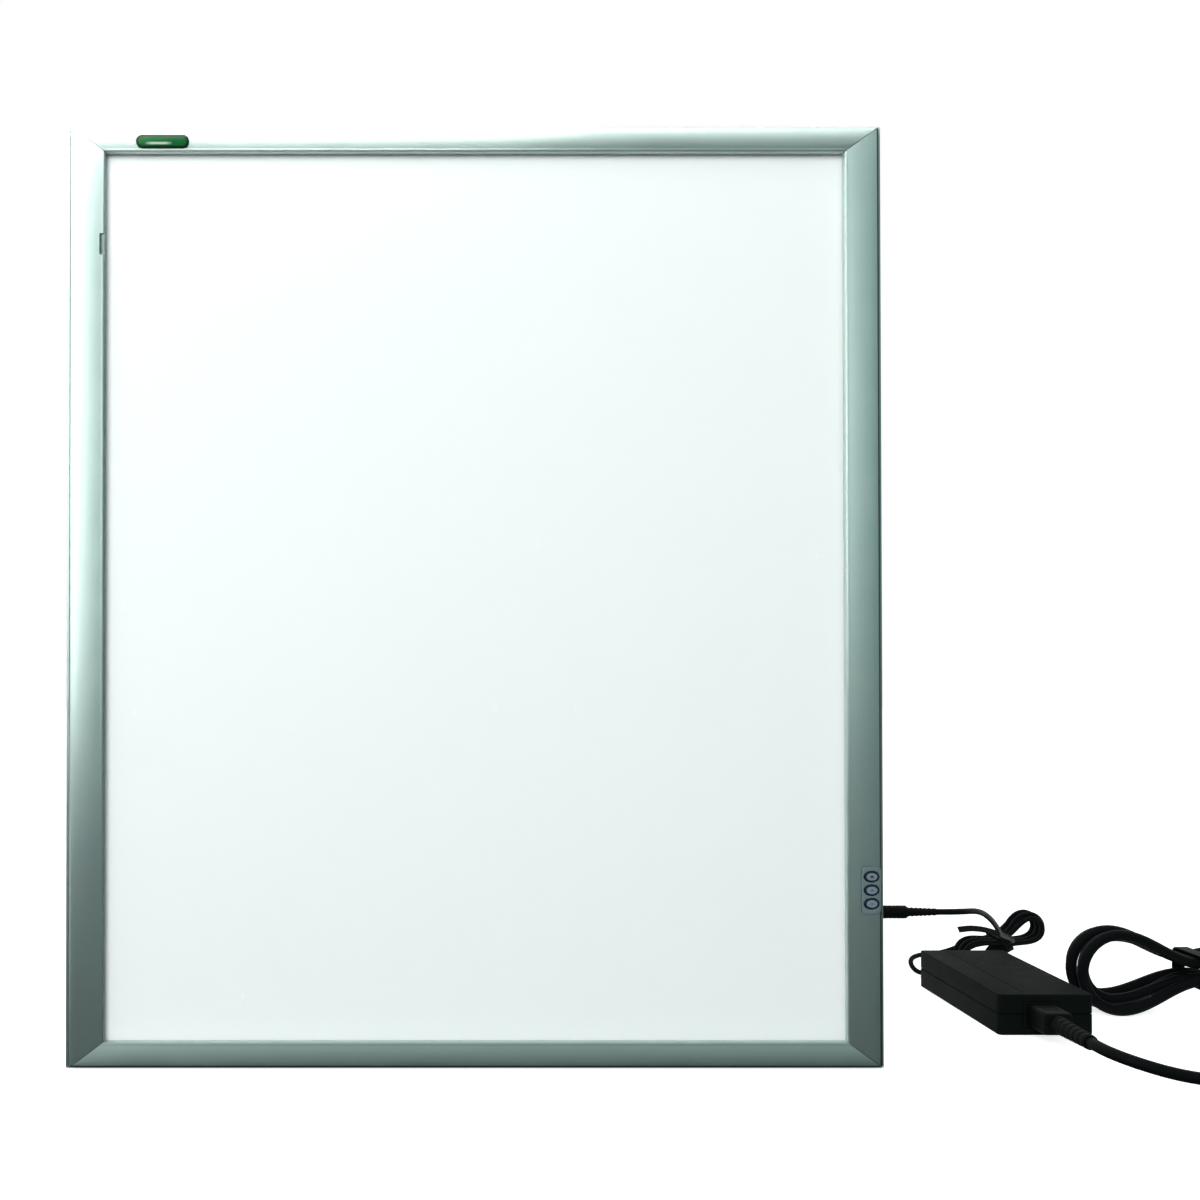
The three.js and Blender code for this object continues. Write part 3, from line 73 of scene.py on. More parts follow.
# Meshes
def meshPiece(name, points, faces):
    mesh = bpy.data.meshes.new(name)
    mesh.from_pydata([tuple(p) for p in points], [], faces)
    mesh.update()
    return addObject(name, mesh)


def outward(obj):
    bm = bmesh.new()
    bm.from_mesh(obj.data)
    bmesh.ops.remove_doubles(bm, verts=bm.verts, dist=1e-7)
    bmesh.ops.recalc_face_normals(bm, faces=bm.faces)
    bm.to_mesh(obj.data)
    bm.free()
    return obj


# A closed skin over rings of points. A ring of one point is a pole; a loop's last ring meets its first.
def ringSkin(name, rings, matrix=None, loop=False):
    points, faces, starts = [], [], []
    for ring in rings:
        starts.append(len(points))
        points += ring
    for i in range(len(rings) - 1 + loop):
        j = (i + 1) % len(rings)
        sides = max(len(rings[i]), len(rings[j]))
        for k in range(sides):
            n = (k + 1) % sides
            low = [starts[i] + k, starts[i] + n] if len(rings[i]) > 1 else [starts[i]]
            high = [starts[j] + n, starts[j] + k] if len(rings[j]) > 1 else [starts[j]]
            faces.append(low + high)
    for i in () if loop else (0, len(rings) - 1):
        if len(rings[i]) > 1:
            faces.append([starts[i] + k for k in range(len(rings[i]))])
    obj = outward(meshPiece(name, points, faces))
    if matrix is not None:
        obj.data.transform(matrix)
    return obj


def arc(middle, radius, start, end, steps):
    angles = [math.radians(start + (end - start) * i / steps) for i in range(steps + 1)]
    return [(middle[0] + radius * math.cos(a), middle[1] + radius * math.sin(a)) for a in angles]


def roundedOutline(width, height, corner, steps=6):
    x, y = width / 2 - corner, height / 2 - corner
    corners = [(x, -y), (x, y), (-x, y), (-x, -y)]
    outline = []
    for i, middle in enumerate(corners):
        outline += arc(middle, corner, 90 * i - 90, 90 * i, steps)
    return outline


def oval(halfWidth, halfHeight, sides=48):
    turn = 2 * math.pi / sides
    return [(halfWidth * math.cos(turn * k), halfHeight * math.sin(turn * k)) for k in range(sides)]


def rectangle(width, height, x=0, y=0):
    return [(x + width * i / 2, y + height * j / 2) for i, j in ((-1, -1), (1, -1), (1, 1), (-1, 1))]


def level(outline, height):
    return [(x, y, height) for x, y in outline]


# A turned solid along +Z from (radius, height) pairs
def lathe(name, profile, sides, matrix=None):
    rings = [level(oval(r, r, sides) if r > 0 else [(0, 0)], height) for r, height in profile]
    return ringSkin(name, rings, matrix)


# A prism of a flat outline, from low to high along +Z
def prism(name, outline, low, high, matrix=None):
    return ringSkin(name, [level(outline, low), level(outline, high)], matrix)


# +Z turned to a direction, about a point
def facing(point, direction):
    turn = Vector(direction).to_track_quat("Z", "Y").to_matrix().to_4x4()
    return Matrix.Translation(point) @ turn


def plainMesh(obj):
    graph = bpy.context.evaluated_depsgraph_get()
    mesh = bpy.data.meshes.new_from_object(obj.evaluated_get(graph))
    obj.modifiers.clear()
    obj.data = mesh
    return obj


def cut(obj, tools, operation="DIFFERENCE"):
    for tool in tools:
        modifier = obj.modifiers.new(tool.name, "BOOLEAN")
        modifier.operation = operation
        modifier.solver = "EXACT"
        modifier.object = tool
    plainMesh(obj)
    for tool in tools:
        bpy.data.objects.remove(tool)
    return obj


def dress(obj, look):
    obj.data.materials.clear()
    obj.data.materials.append(looks[look])


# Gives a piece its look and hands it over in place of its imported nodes
def finishPiece(obj, body, look, replaced, sharp=35):
    dress(obj, look)
    obj.name = replaced[0] + "_fine"
    obj.data.shade_smooth()
    obj.data.set_sharp_from_angle(angle=math.radians(sharp))
    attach(obj, body)
    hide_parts(*replaced)
    return obj


def finishRubber(obj, name):
    return finishPiece(obj, "root", "blackRubber", [name])


# Node trees
def setInputs(node, inputs):
    for key, value in inputs.items():
        value = value.socket if isinstance(value, Field) else value
        if isinstance(value, bpy.types.NodeSocket):
            node.id_data.links.new(value, node.inputs[key])
        else:
            node.inputs[key].default_value = value


def put(tree, kind, inputs=None, **settings):
    node = tree.nodes.new(kind)
    for name, value in settings.items():
        setattr(node, name, value)
    setInputs(node, inputs or {})
    return node


# One output of a new node
def get(tree, kind, inputs=None, output=0, **settings):
    return Field(put(tree, kind, inputs, **settings).outputs[output])


# A node socket that can stand in a sum, so that a rule serves numbers and node trees alike
class Field:
    def __init__(self, socket):
        self.socket = socket
        self.tree = socket.id_data

    def of(self, operation, *others):
        return get(self.tree, "ShaderNodeMath", dict(enumerate((self, *others))), operation=operation)

    def __add__(self, other):
        return self.of("ADD", other)

    def __sub__(self, other):
        return self.of("SUBTRACT", other)

    def __mul__(self, other):
        return self.of("MULTIPLY", other)

    def __truediv__(self, other):
        return self.of("DIVIDE", other)

    def __pow__(self, other):
        return self.of("POWER", other)

    def mapped(self, fromLow, fromHigh, low, high, soft=False):
        inputs = {
            "Value": self, "From Min": fromLow, "From Max": fromHigh, "To Min": low, "To Max": high}
        course = "SMOOTHSTEP" if soft else "LINEAR"
        return get(self.tree, "ShaderNodeMapRange", inputs, "Result", interpolation_type=course)


def sine(x):
    return x.of("SINE") if isinstance(x, Field) else math.sin(x)


def cosine(x):
    return x.of("COSINE") if isinstance(x, Field) else max(math.cos(x), 0)


def clamped(x):
    return x.of("MAXIMUM", 0.0).of("MINIMUM", 1.0) if isinstance(x, Field) else min(max(x, 0), 1)


def axes(vector):
    return [Field(s) for s in put(vector.tree, "ShaderNodeSeparateXYZ", {"Vector": vector}).outputs]


def scaled(vector, by):
    return get(vector.tree, "ShaderNodeVectorMath", {0: vector, "Scale": by}, operation="SCALE")


def noise(vector, scale, detail, **more):
    return get(vector.tree, "ShaderNodeTexNoise", {
        "Vector": vector, "Scale": scale, "Detail": detail, **more})


# A Mix node has its colour sockets after those of its other kinds
def blend(factor, first, second):
    return get(factor.tree, "ShaderNodeMix", {0: factor, 6: first, 7: second}, 2, data_type="RGBA")


def lightPath(tree):
    return {socket.name: Field(socket) for socket in tree.nodes.new("ShaderNodeLightPath").outputs}


# Sockets by name: a value gives an input its kind and default, a word its kind alone
def newGroup(name, inputs, outputs, kind="ShaderNodeTree"):
    tree = bpy.data.node_groups.new(name, kind)
    for label, value in inputs.items():
        word = value if isinstance(value, str) else {int: "Int", float: "Float", tuple: "Color"}[type(value)]
        socket = tree.interface.new_socket(label, in_out="INPUT", socket_type="NodeSocket" + word)
        if value != word:
            socket.default_value = value
    for label, word in outputs.items():
        tree.interface.new_socket(label, in_out="OUTPUT", socket_type="NodeSocket" + word)
    given = tree.nodes.new("NodeGroupInput")
    return {label: Field(given.outputs[label]) for label in inputs}, tree.nodes.new("NodeGroupOutput")


def linear(red, green, blue):
    shares = [c / 255 for c in (red, green, blue)]
    return (*[s / 12.92 if s <= 0.04045 else ((s + 0.055) / 1.055) ** 2.4 for s in shares], 1)


grainForm = {"detail": 3.0, "broadDetail": 2.0, "broadShare": 0.03}


# A fine mottled grain, as on moulded or anodised faces
def makeGrainGroup():
    given, out = newGroup("fine grain", {
        "Vector": "Vector", "Colour": "Color", "Scale": 600.0, "Contrast": 0.05, "Roughness": 0.5,
        "Spread": 0.08}, {"Colour": "Color", "Roughness": "Float", "Height": "Float"})
    form = grainForm
    fine = noise(given["Vector"], given["Scale"], form["detail"])
    broad = noise(given["Vector"], given["Scale"] * form["broadShare"], form["broadDetail"])
    swing = fine + broad - 1.0
    setInputs(out, {
        "Colour": scaled(given["Colour"], swing * given["Contrast"] + 1.0),
        "Roughness": given["Roughness"] + swing * given["Spread"],
        "Height": fine})
    return out.id_data


linesForm = {"detail": 4.0, "roughness": 0.7}


# Fine lines drawn along one axis: the vector arrives already stretched
def makeLinesGroup():
    given, out = newGroup("drawn lines", {
        "Vector": "Vector", "Colour": "Color", "Strength": 0.1}, {"Colour": "Color", "Height": "Float"})
    lines = noise(given["Vector"], 1.0, linesForm["detail"], Roughness=linesForm["roughness"])
    shade = (lines - 0.5) * given["Strength"] + 1.0
    setInputs(out, {"Colour": scaled(given["Colour"], shade), "Height": lines})
    return out.id_data


dustForm = {
    "colour": linear(150, 156, 152),
    "patch": (38.0, 5.0),  # scale and detail
    "patchFrom": (0.45, 0.75),
    "speckScale": 900.0,
    "speckTo": (0.12, 0.3),
    "between": 0.25,  # what is left of it between the specks
}


# Pale dust and handling marks, in loose patches
def makeDustGroup():
    given, out = newGroup("dust", {
        "Vector": "Vector", "Colour": "Color", "Dust": dustForm["colour"], "Amount": 0.1},
        {"Colour": "Color"})
    form = dustForm
    patch = noise(given["Vector"], *form["patch"]).mapped(*form["patchFrom"], 0.0, 1.0)
    specks = get(out.id_data, "ShaderNodeTexVoronoi", {
        "Vector": given["Vector"], "Scale": form["speckScale"]}, "Distance")
    mask = patch * specks.mapped(*form["speckTo"], 1.0, form["between"]) * given["Amount"]
    setInputs(out, {"Colour": blend(mask, given["Colour"], given["Dust"])})
    return out.id_data


groups = {"grain": makeGrainGroup(), "lines": makeLinesGroup(), "dust": makeDustGroup()}


# A material in the making, with the effects that several finishes share
class Look:
    def __init__(self, name, roughness, metallic=0.0, sheen=0.5):
        self.material = bpy.data.materials.new(name)
        self.material.use_nodes = True
        self.tree = self.material.node_tree
        self.shader = self.tree.nodes["Principled BSDF"]
        self.where = get(self.tree, "ShaderNodeTexCoord", output="Object")
        self.roughness = roughness
        setInputs(self.shader, {
            "Roughness": roughness, "Metallic": metallic, "Specular IOR Level": sheen})

    def effect(self, kind, inputs):
        return put(self.tree, "ShaderNodeGroup", inputs, node_tree=groups[kind]).outputs

    # The mottled colour and its height
    def grain(self, colour, scale, contrast, spread):
        given = self.effect("grain", {
            "Vector": self.where, "Colour": colour, "Scale": scale, "Contrast": contrast,
            "Roughness": self.roughness, "Spread": spread})
        setInputs(self.shader, {"Roughness": given["Roughness"]})
        return Field(given["Colour"]), Field(given["Height"])

    def dusty(self, colour, amount):
        return self.effect("dust", {"Vector": self.where, "Colour": colour, "Amount": amount})["Colour"]

    def finish(self, colour, height, strength, distance):
        bump = get(self.tree, "ShaderNodeBump", {
            "Height": height, "Strength": strength, "Distance": distance}, "Normal")
        setInputs(self.shader, {"Base Color": colour, "Normal": bump})
        return self.material


def grained(name, colour, roughness, metallic, scale, contrast, spread, bump, depth=0.0001, dust=0.0,
            sheen=0.5):
    look = Look(name, roughness, metallic, sheen)
    shade, height = look.grain(linear(*colour), scale, contrast, spread)
    return look.finish(look.dusty(shade, dust) if dust else shade, height, bump, depth)


# In this and the next looks grain is its scale, contrast and spread, bump its strength and depth
aluminium = {
    "colour": (0.63, 0.74, 0.7, 1),
    "roughness": 0.5,
    "anisotropy": 0.85,
    "linesAcross": 2600.0,  # per metre
    "linesAlong": 9.0,
    "lines": 0.1,
    "grain": (1500.0, 0.07, 0.12),
    "grainHeight": 0.5,
    "dust": 0.05,
    "bump": (0.12, 0.00005),
    # painted shade: the dark outer edge of the right and bottom snap rails, where the gap beside the base
    # rail lies in shadow
    "paintedShadeEdge": (0.07, 0.085, 0.08, 1),
    # painted shade: the left rail's lip wall and the floor of its notch, darker where they face away from the
    # light
    "paintedShadeLip": (0.26, 0.33, 0.32, 1),
}


# Satin anodised aluminium with the lengthwise lines of its extrusion; along is the rail's axis. Where shade
# is given, painted shade darkens it along one axis
def makeAluminium(name, along, shade=None):
    a = aluminium
    look = Look(name, a["roughness"], 1.0)
    colour = a["colour"]
    if shade:  # painted shade: from low to high along an axis it turns to a darker colour
        axis, low, high, dark = shade
        colour = blend(axes(look.where)[axis].mapped(low, high, 0.0, 1.0), colour, a[dark])
    across = get(look.tree, "ShaderNodeCombineXYZ", {"X" if along == 2 else "Z": 1.0})
    turned = get(look.tree, "ShaderNodeVectorTransform", {0: across},
                 vector_type="VECTOR", convert_from="OBJECT", convert_to="WORLD")
    setInputs(look.shader, {"Anisotropic": a["anisotropy"], "Tangent": turned})
    scale = [a["linesAcross"]] * 3
    scale[along] = a["linesAlong"]
    stretched = get(look.tree, "ShaderNodeMapping", {"Vector": look.where, "Scale": scale})
    grain, grainHeight = look.grain(colour, *a["grain"])
    lines = look.effect("lines", {"Vector": stretched, "Colour": grain, "Strength": a["lines"]})
    height = Field(lines["Height"]) + grainHeight * a["grainHeight"]
    return look.finish(look.dusty(lines["Colour"], a["dust"]), height, *a["bump"])


clearSheet = {
    "colour": (0.985, 0.995, 0.99, 1),
    "roughness": (0.262, 0.274),
    "ior": 1.49,
    "sheen": 0.2,
    "haze": (45.0, 4.0),  # scale and detail
    "hazeFrom": (0.3, 0.75),
}


# Clear acrylic with a slight haze; light passes straight to what lies behind it
def makeClear():
    sheet = clearSheet
    look = Look("clear sheet", sheet["roughness"][0], sheen=sheet["sheen"])
    setInputs(look.shader, {
        "Base Color": sheet["colour"], "Transmission Weight": 1.0, "IOR": sheet["ior"],
        "Roughness": noise(look.where, *sheet["haze"]).mapped(*sheet["hazeFrom"], *sheet["roughness"])})
    ray = lightPath(look.tree)
    passing = ray["Is Shadow Ray"].of("MAXIMUM", ray["Is Diffuse Ray"])
    through = look.tree.nodes.new("ShaderNodeBsdfTransparent")
    both = get(look.tree, "ShaderNodeMixShader", {
        0: passing, 1: look.shader.outputs[0], 2: through.outputs[0]})
    setInputs(look.tree.nodes["Material Output"], {"Surface": both})
    return look.material


opalSheet = {
    "colour": (0.93, 0.945, 0.94, 1),
    "roughness": 0.42,
    "grain": (260.0, 0.012, 0.06),
    "bump": (0.04, 0.00005),
}


# Opal acrylic: a faint cloud in the white and a very fine matt face
def makeDiffuser():
    look = Look("opal acrylic", opalSheet["roughness"])
    return look.finish(*look.grain(opalSheet["colour"], *opalSheet["grain"]), *opalSheet["bump"])


buttonLook = {
    "face": linear(112, 127, 138),
    "print": linear(20, 27, 38),
    "roughness": 0.4,
    "sheen": 0.25,
    "ring": (0.65, 0.75),  # shares of the way to the edge
    "dot": (0.132, 0.308),
    "grain": (1500.0, 0.06, 0.1),
    "grainHeight": 0.2,
    "bump": (0.3, 0.0001),
}


# A grey cap with a dark printed ring and a small dot; the mesh says how far out each point is
def makeButtonLook():
    b = buttonLook
    look = Look("button cap", b["roughness"], sheen=b["sheen"])
    across, mark = [
        get(look.tree, "ShaderNodeAttribute", output="Fac", attribute_name=name)
        for name in ("across", "mark")]
    ring = across.mapped(*b["ring"], 0.0, 1.0)
    dot = mark * across.mapped(*b["dot"], 1.0, 0.0)
    grain, grainHeight = look.grain(b["face"], *b["grain"])
    colour = blend(dot, blend(ring, grain, b["print"]), b["print"])
    return look.finish(colour, grainHeight * b["grainHeight"] + ring, *b["bump"])


badgeLook = {
    "rim": linear(4, 42, 20),
    "field": linear(14, 96, 44),
    "streak": linear(214, 232, 220),
    "roughness": 0.34,
    "sheen": 0.2,
    "grain": (700.0, 0.3, 0.1),
    "bump": (0.15, 0.0001),
    "centre": (-0.1677, 0.0, 0.4978),
    "halfStraight": 0.01085,
    "rimFrom": (0.002, 0.0022),
    "streakMiddle": (-0.0022, -0.0009),
    "streakWide": (0.00375, 0.0075),
    "streakHigh": (0.00032, 0.0008),
    "streakShare": 0.75,
}


# Green enamel in a darker rim, with a pale streak low in its middle
def makeBadgeLook():
    b = badgeLook
    look = Look("green badge", b["roughness"], sheen=b["sheen"])
    away = get(look.tree, "ShaderNodeVectorMath", {0: look.where, 1: b["centre"]}, operation="SUBTRACT")
    right, _, up = axes(away)
    beyond = (right.of("ABSOLUTE") - b["halfStraight"]).of("MAXIMUM", 0.0)
    rim = (beyond * beyond + up * up).of("SQRT").mapped(*b["rimFrom"], 0.0, 1.0)
    beside = (right - b["streakMiddle"][0]).of("ABSOLUTE").mapped(*b["streakWide"], 1.0, 0.0)
    above = (up - b["streakMiddle"][1]).of("ABSOLUTE").mapped(*b["streakHigh"], b["streakShare"], 0.0)
    grain, grainHeight = look.grain(b["field"], *b["grain"])
    colour = blend(rim, blend(beside * above, grain, b["streak"]), b["rim"])
    return look.finish(colour, grainHeight + rim, *b["bump"])


# Each with colour, roughness and metallic, then the grain's scale, contrast, spread and bump, and
# where they aren't the usual ones the bump's depth, the dust and the sheen
grainedLooks = {
    "backPanel": ("painted back sheet", (196, 201, 200), 0.45, 0.0, 700.0, 0.05, 0.1, 0.12),
    "white": ("white plastic", (236, 239, 236), 0.5, 0.0, 500.0, 0.03, 0.08, 0.1),
    "steel": ("zinc plated steel", (150, 154, 156), 0.34, 1.0, 900.0, 0.14, 0.16, 0.1),
    "springSteel": ("spring steel", (120, 124, 128), 0.28, 1.0, 1200.0, 0.12, 0.12, 0.08),
    "circuit": ("solder mask", (24, 92, 52), 0.4, 0.0, 420.0, 0.18, 0.12, 0.2),
    "blackPlastic": (
        "textured black plastic", (11, 15, 14), 0.72, 0.0, 2400.0, 0.16, 0.12, 0.5, 0.00012, 0.008, 0.05),
    "blackRubber": (
        "soft black plastic", (9, 11, 10), 0.58, 0.0, 1400.0, 0.12, 0.12, 0.25, 0.0001, 0.01, 0.07),
    "gripRubber": ("grey grip rubber", (52, 56, 56), 0.7, 0.0, 900.0, 0.12, 0.1, 0.3),
    "cordJacket": ("cord jacket", (10, 12, 13), 0.55, 0.0, 700.0, 0.12, 0.1, 0.1, 0.00008, 0.006, 0.05),
    "capacitor": ("capacitor sleeve", (44, 52, 74), 0.36, 0.0, 400.0, 0.08, 0.1, 0.05),
    "plate": ("control foil", (100, 115, 118), 0.42, 0.0, 1500.0, 0.08, 0.1, 0.15),
}
looks = {
    "aluminiumUp": makeAluminium("satin aluminium upright", 2),
    "aluminiumAcross": makeAluminium("satin aluminium across", 0),
    # painted shade along the outer edge of the right and bottom rails
    "railRightPaintedShade": makeAluminium("right rail aluminium, painted shade", 2, (0, 0.2158, 0.2163, "paintedShadeEdge")),
    "railBottomPaintedShade": makeAluminium("bottom rail aluminium, painted shade", 0, (2, 0.0031, 0.0027, "paintedShadeEdge")),
    # painted shade on the left rail's lip wall and the notch's floor
    "railLeftPaintedShade": makeAluminium("left rail aluminium, painted shade", 2, (1, -0.0075, -0.0071, "paintedShadeLip")),
    "diffuser": makeDiffuser(),
    "clear": makeClear(),
    "button": makeButtonLook(),
    "badge": makeBadgeLook(),
    **{key: grained(*values) for key, values in grainedLooks.items()},
}
print("materials: made")

# Cords. The free stretches follow listed points; the hanks follow a rule.
dcCord = {
    "name": "dcCord",
    "diameter": 0.0032,
    "centre": (0.378, 0.2085, 0.0226),
    "tilt": 28,
    "up": 1,
    "halfRun": 0.0205,
    "innerRadius": 0.0066,
    "startStep": 5,
    "endStep": 125,
    "start": (0.2512, 0.0047, 0.0824),
    "end": (0.337, 0.1983, 0.012),
    "sides": 14,
    "front": [
        (0.2594, 0.0049, 0.0824), (0.2673, 0.008, 0.082), (0.2775, 0.018, 0.0803),
        (0.2896, 0.036, 0.0758), (0.3033, 0.06, 0.0688), (0.3192, 0.09, 0.0598),
        (0.3368, 0.125, 0.0492), (0.354, 0.16, 0.0386), (0.3675, 0.1815, 0.0325),
        (0.3762, 0.1935, 0.0284), (0.3788, 0.2, 0.0258),
    ],
    "tail": [
        (0.352, 0.2282, 0.0152), (0.338, 0.2282, 0.0112), (0.3255, 0.2262, 0.0104),
        (0.3185, 0.2205, 0.0088), (0.3165, 0.214, 0.0058), (0.3185, 0.2088, 0.0032),
        (0.3245, 0.2062, 0.0027), (0.331, 0.206, 0.0056), (0.3356, 0.2052, 0.0098),
        (0.337, 0.2025, 0.0118),
    ],
}
mainsCord = {
    "name": "mainsCord",
    "diameter": 0.0064,
    "centre": (0.453, 0.1045, 0.0271),
    "tilt": 0,
    "up": -1,
    "halfRun": 0.05,
    "innerRadius": 0.0175,
    "startStep": 0,
    "endStep": 88,
    "start": (0.334, 0.0029, 0.012),
    "end": (0.5277, 0.1396, 0.0123),
    "sides": 18,
    "front": [
        (0.334, -0.006, 0.012), (0.3365, -0.017, 0.0114), (0.344, -0.028, 0.0098),
        (0.357, -0.036, 0.0072), (0.374, -0.04, 0.005), (0.395, -0.04, 0.0036),
        (0.42, -0.035, 0.0033), (0.452, -0.023, 0.0033), (0.486, -0.004, 0.0033),
        (0.514, 0.018, 0.0033), (0.532, 0.044, 0.0033), (0.539, 0.069, 0.0033),
        (0.532, 0.088, 0.0033),
    ],
    "tail": [
        (0.486, 0.1308, 0.0292), (0.4975, 0.1352, 0.0222), (0.507, 0.1384, 0.0168),
        (0.519, 0.1396, 0.0126),
    ],
}
hankForm = {
    "gap": 0.16,  # of the diameter, between two turns
    "waist": 0.65,  # of the pitch
    "tangentStep": 0.05,
    "stepsInRun": 7,
    "stepsInFold": 5,
    "finer": 5,  # rings for each step
    "join": 0.0003,
    "spacing": 0.45,  # of the diameter, along the free stretches
}


def smooth(share):
    return (1 - math.cos(math.pi * min(abs(share), 1))) / 2


def hankPitch(cord):
    return cord["diameter"] * (1 + hankForm["gap"])


def hankWidth(cord, radius, a):
    waist = hankPitch(cord) * hankForm["waist"]
    return waist + (radius - waist) * smooth(a / cord["halfRun"])


# One point of a hank: a loop is a run, a fold, a run back and a fold
def hankPoint(cord, step):
    inRun, inFold = hankForm["stepsInRun"], hankForm["stepsInFold"]
    inHalf = inRun + inFold
    pitch, half = hankPitch(cord), cord["halfRun"]
    loop = math.floor(step / (2 * inHalf))
    inLoop = step - loop * 2 * inHalf
    sinceReversal = abs(step - inRun / 2) / (2 * inHalf)
    radius = cord["innerRadius"] + pitch * abs(1 - sinceReversal % 2)
    layer = loop - 1 + smooth(inLoop / inRun)
    side = 1 if inLoop <= inHalf else -1
    inSide = inLoop if side > 0 else inLoop - inHalf
    if inSide <= inRun:
        a = half - 2 * half * inSide / inRun
        b = hankWidth(cord, radius, a)
    else:
        angle = math.pi * (inSide - inRun) / inFold
        a, b = -half - radius * math.sin(angle), radius * math.cos(angle)
    along, across, tilt = side * a, cord["up"] * side * b, math.radians(cord["tilt"])
    return Vector((
        cord["centre"][0] + along * math.cos(tilt) - across * math.sin(tilt),
        cord["centre"][1] + layer * pitch,
        cord["centre"][2] + along * math.sin(tilt) + across * math.cos(tilt),
    ))


def outOfHank(cord, atEnd, distance):
    step = cord["endStep"] if atEnd else cord["startStep"]
    nearby = step + (-1 if atEnd else 1) * hankForm["tangentStep"]
    end = hankPoint(cord, step)
    return end + (end - hankPoint(cord, nearby)).normalized() * distance


# A centripetal curve through its points, about as far apart as spacing
def smoothLine(points, spacing):
    points = [Vector(p) for p in points]
    ghosts = [2 * points[0] - points[1], *points, 2 * points[-1] - points[-2]]
    line = []
    for i in range(len(points) - 1):
        p0, p1, p2, p3 = ghosts[i : i + 4]
        d0, d1, d2 = [max((b - a).length ** 0.5, 1e-6) for a, b in ((p0, p1), (p1, p2), (p2, p3))]
        t1 = ((p1 - p0) / d0 - (p2 - p0) / (d0 + d1) + (p2 - p1) / d1) * d1
        t2 = ((p2 - p1) / d1 - (p3 - p1) / (d1 + d2) + (p3 - p2) / d2) * d1
        steps = max(1, round((p2 - p1).length / spacing))
        for s in [k / steps for k in range(steps)]:
            line.append(
                p1 + t1 * s + (3 * (p2 - p1) - 2 * t1 - t2) * s**2 + (2 * (p1 - p2) + t1 + t2) * s**3)
    return [*line, points[-1]]


def cordLine(cord):
    d = cord["diameter"]
    near, far = d + hankForm["join"], 2 * d + hankForm["join"]
    front = [cord["start"], *cord["front"], outOfHank(cord, False, far), outOfHank(cord, False, near)]
    tail = [outOfHank(cord, True, near), outOfHank(cord, True, far), *cord["tail"], cord["end"]]
    finer, spacing = hankForm["finer"], hankForm["spacing"] * d
    steps = range(cord["startStep"] * finer, cord["endStep"] * finer + 1)
    hank = [hankPoint(cord, step / finer) for step in steps]
    return smoothLine(front, spacing) + hank + smoothLine(tail, spacing)


def directionAt(line, i):
    return (line[min(i + 1, len(line) - 1)] - line[max(i - 1, 0)]).normalized()


# A tube whose rings stand square to its line, turned as little as can be
def makeCord(cord):
    line, radius = cordLine(cord), cord["diameter"] / 2
    rings = []
    across = Vector((0, 1, 0))
    for i, point in enumerate(line):
        along = directionAt(line, i)
        across = (across - along * across.dot(along)).normalized()
        aside = along.cross(across)
        rings.append([point + across * x + aside * y for x, y in oval(radius, radius, cord["sides"])])
    return ringSkin(cord["name"], rings), line


tie = {
    "dcWidth": 0.005,
    "mainsWidth": 0.008,
    "thickness": 0.001,
    "clearance": 0.0003,
    "corner": 0.0003,
    "end": [
        (0.3765, 0.0283), (0.3735, 0.0291), (0.369, 0.0306), (0.362, 0.0322), (0.354, 0.0328),
        (0.346, 0.032)],
    "endFront": 0.2054,
    "endWidth": 0.0044,
    "endTilt": 38,  # towards the front
}


# The band's free end, which stands out to the left
def strapEnd(name):
    rings = []
    tilt, half = math.radians(tie["endTilt"]), tie["endWidth"] / 2
    line = smoothLine([(x, tie["endFront"] + half, z) for x, z in tie["end"]], half / 2)
    for i, point in enumerate(line):
        across = Vector((0, math.cos(tilt), math.sin(tilt))) * half
        rise = directionAt(line, i).cross(across).normalized() * (tie["thickness"] / 2)
        rings.append([
            point - across - rise, point - across + rise, point + across + rise, point + across - rise])
    return ringSkin(name, rings)


# A soft band round a hank's waist
def makeTie(name, cord, width):
    pitch = hankPitch(cord)
    inner = cord["diameter"] / 2 + tie["clearance"]
    inRun, inFold = hankForm["stepsInRun"], hankForm["stepsInFold"]
    halfAcross = hankWidth(cord, cord["innerRadius"] + pitch, cord["halfRun"] / inRun) + inner
    lastLayer = math.floor(cord["endStep"] / (2 * (inRun + inFold)))
    low = -pitch / 2 - inner - tie["clearance"]
    high = lastLayer * pitch + inner
    thick, corner, half = tie["thickness"], tie["corner"], width / 2
    section = [
        (0, half - corner), (corner, half), (thick - corner, half), (thick, half - corner),
        (thick, corner - half), (thick - corner, -half), (corner, -half), (0, corner - half),
    ]
    rings = [
        [(x, y + (low + high) / 2, z) for x, y in
         roundedOutline(2 * (halfAcross + out), high - low + 2 * out, inner + out, steps=8)]
        for out, z in section
    ]
    turn = Matrix(((0, 0, 1, 0), (0, 1, 0, 0), (-1, 0, 0, 0), (0, 0, 0, 1)))
    tilt = Matrix.Rotation(-math.radians(cord["tilt"]), 4, "Y")
    obj = ringSkin(name, rings, Matrix.Translation(cord["centre"]) @ tilt @ turn, loop=True)
    if cord is dcCord:
        cut(obj, [strapEnd("strapEnd")], "UNION")
    return finishRubber(obj, name)


makeCamera()
dcPiece, dcLine = makeCord(dcCord)
mainsPiece, mainsLine = makeCord(mainsCord)
for piece, start in ((dcPiece, "dc_cord_"), (mainsPiece, "mains_cord_")):
    finishPiece(piece, "root", "cordJacket", [start + end for end in ("free", "hank", "tail")])
dcTie = makeTie("dc_hank_tie", dcCord, tie["dcWidth"])
mainsTie = makeTie("mains_hank_tie", mainsCord, tie["mainsWidth"])
print("cords: laid")


# The start of a geometry node tree; finishTree is its end
def newTree(name, inputs):
    inputs = {"Geometry": "Geometry", **inputs, "Material": "Material"}
    return newGroup(name, inputs, {"Geometry": "Geometry"}, "GeometryNodeTree")


